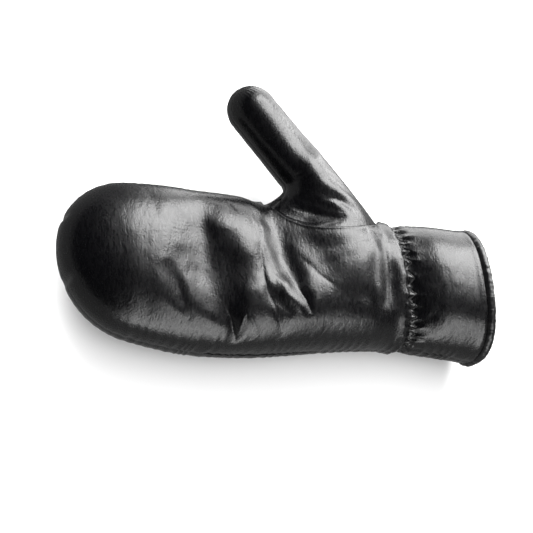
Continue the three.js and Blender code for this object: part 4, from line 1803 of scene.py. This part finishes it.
@dataclass(frozen=True)
class SoftLight:
    """A flat rectangular light or reflector card, in millimetres.

    The radiance is what the leather sees of it in its glaze.
    """

    name: str
    centre: tuple[float, float, float]
    aim: tuple[float, float, float]
    long_way: tuple[float, float, float]
    length: float
    width: float
    radiance: float
    reach: Reach

    def build(self) -> None:
        """Hangs the light."""
        lamp = bpy.data.lights.new(self.name, "AREA")
        lamp.shape = "RECTANGLE"
        lamp.size = self.length * METRES
        lamp.size_y = self.width * METRES
        lamp.energy = self.radiance * math.pi * lamp.size * lamp.size_y
        holder = bpy.data.objects.new(self.name, lamp)
        away = (Vector(self.centre) - Vector(self.aim)).normalized()
        long_way = Vector(self.long_way)
        long_way = (long_way - away * long_way.dot(away)).normalized()
        turn = Matrix((long_way, away.cross(long_way), away)).transposed().to_4x4()
        holder.matrix_world = Matrix.Translation(Vector(self.centre) * METRES) @ turn
        holder.visible_camera = False
        holder.visible_glossy = self.reach is Reach.GLAZE
        holder.visible_diffuse = self.reach is Reach.MATT
        bpy.context.scene.collection.objects.link(holder)


# The key softbox stands over the thumb's side within a dimmer spill, with a strip and a card
# beside it and a pale card overhead. A softbox and a card stand low on the cuff's side, and a
# long strip low in front. The paper's light comes from two large panels, behind and overhead.
LIGHTS = (
    SoftLight("key_softbox", (640, 820, 977), (0, 0, 40), (0, 0, 1), 860, 860, 12.0, Reach.GLAZE),
    SoftLight("key_spill", (660, 840, 1000), (0, 0, 40), (0, 0, 1), 1080, 1080, 1.6, Reach.GLAZE),
    SoftLight("back_strip", (120, 1040, 920), (0, 0, 40), (0, 0, 1), 820, 80, 2.6, Reach.GLAZE),
    SoftLight("back_card", (-70, 1040, 920), (0, 0, 40), (0, 0, 1), 820, 220, 0.8, Reach.GLAZE),
    SoftLight("ceiling_card", (330, 60, 900), (0, 0, 40), (0, 1, 0), 520, 280, 0.3, Reach.GLAZE),
    SoftLight("rim_card", (190, 300, 20), (110, 0, 40), (1, 0, 0), 320, 240, 4.0, Reach.GLAZE),
    SoftLight("side_softbox", (580, 330, 190), (40, 20, 40), (0, 0, 1), 340, 400, 7.0, Reach.GLAZE),
    SoftLight("front_strip", (235, -640, 430), (0, 0, 50), (0.40, 0.60, 0.69), 980, 330, 5.5,
              Reach.GLAZE),
    SoftLight("paper_light", (60, 1900, 1200), (0, 0, 0), (1, 0, 0), 2400, 2000, 11.0, Reach.MATT),
    SoftLight("paper_ceiling", (0, -300, 2400), (0, 0, 0), (1, 0, 0), 4200, 4200, 2.5, Reach.MATT),
)


@dataclass(frozen=True)
class Studio:
    """The floor, the lights and the camera.

    The camera's turns and the backdrop's top are in degrees, and lengths in millimetres.
    """

    azimuth: float = 24.0
    elevation: float = 19.0
    roll: float = 2.0
    lens: float = 100.0
    sensor: float = 36.0
    image_width: int = 533
    size_per_pixel: float = 0.575
    target: tuple[float, float, float] = (0.0, 0.0, 32.0)
    floor_size: float = 12000.0
    backdrop_top: float = 25.0
    backdrop_edge: float = 0.06
    backdrop_strength: float = 0.35
    overhead_strength: float = 0.01

    def build_floor(self) -> None:
        """Lays the paper floor, which the glaze of the leather doesn't mirror."""
        half = self.floor_size / 2 * METRES
        mesh = bpy.data.meshes.new("paper_floor")
        corners = [(-half, -half, 0), (half, -half, 0), (half, half, 0), (-half, half, 0)]
        mesh.from_pydata(corners, [], [(0, 1, 2, 3)])
        mesh.materials.append(PaperFloor().material())
        floor = bpy.data.objects.new("paper_floor", mesh)
        bpy.context.scene.collection.objects.link(floor)
        floor.visible_glossy = False

    def build_world(self) -> None:
        """Makes a room that is dark overhead, with a pale backdrop round it above the floor."""
        world = bpy.data.worlds.new("studio_room")
        world.use_nodes = True
        tree = world.node_tree
        tree.nodes.clear()
        direction = add_node(tree, "ShaderNodeTexCoord").outputs["Generated"]
        rise = add_node(tree, "ShaderNodeSeparateXYZ", {}, {"Vector": direction}).outputs["Z"]
        top = math.sin(math.radians(self.backdrop_top))
        paleness = add_node(tree, "ShaderNodeMapRange", {},
                            {"Value": rise, "From Min": top - self.backdrop_edge,
                             "From Max": top + self.backdrop_edge,
                             "To Min": self.backdrop_strength, "To Max": self.overhead_strength})
        room = add_node(tree, "ShaderNodeBackground", {},
                        {"Color": linear("#ffffff"), "Strength": paleness.outputs[0]})
        add_node(tree, "ShaderNodeOutputWorld", {}, {"Surface": room.outputs[0]})
        bpy.context.scene.world = world

    def build_camera(self) -> None:
        """Sets up the camera at the photograph's angle."""
        azimuth, elevation, roll = (math.radians(v) for v in (self.azimuth, self.elevation, self.roll))
        away = Vector((-math.sin(azimuth) * math.cos(elevation), -math.sin(elevation),
                       math.cos(azimuth) * math.cos(elevation)))
        level = Vector((0, 1, 0)).cross(away).normalized()
        upright = away.cross(level)
        right = level * math.cos(roll) - upright * math.sin(roll)
        up = level * math.sin(roll) + upright * math.cos(roll)
        distance = self.image_width * self.lens / self.sensor * self.size_per_pixel
        data = bpy.data.cameras.new("photo_camera")
        data.lens = self.lens
        data.sensor_width = self.sensor
        camera = bpy.data.objects.new("photo_camera", data)
        turn = Matrix((right, up, away)).transposed().to_4x4()
        place = (Vector(self.target) + away * distance) * METRES
        camera.matrix_world = Matrix.Translation(place) @ turn
        bpy.context.scene.collection.objects.link(camera)
        bpy.context.scene.camera = camera

    def build(self) -> None:
        """Builds the studio."""
        self.build_floor()
        self.build_world()
        for light in LIGHTS:
            light.build()
        self.build_camera()
        bpy.context.scene.view_settings.view_transform = "Standard"


def main() -> None:
    """Builds the mitten and the studio."""
    logging.basicConfig(level=logging.INFO, format="%(name)s: %(message)s")
    leather = GlazedLeather("glazed_black_nappa").material()
    binding_leather = GlazedLeather("glazed_binding_nappa", roughness=0.34, coat=0.2).material()
    hand = HandForm(MittenSizes.from_frame())
    ring = ThumbRing(hand)
    Panels(hand, ring).build(leather)
    Thumb(ring).build(leather)
    CuffBinding(hand).build(binding_leather)
    ElasticStitching(hand).build(SewingThread().material())
    Studio().build()


if __name__ == "__main__":
    main()
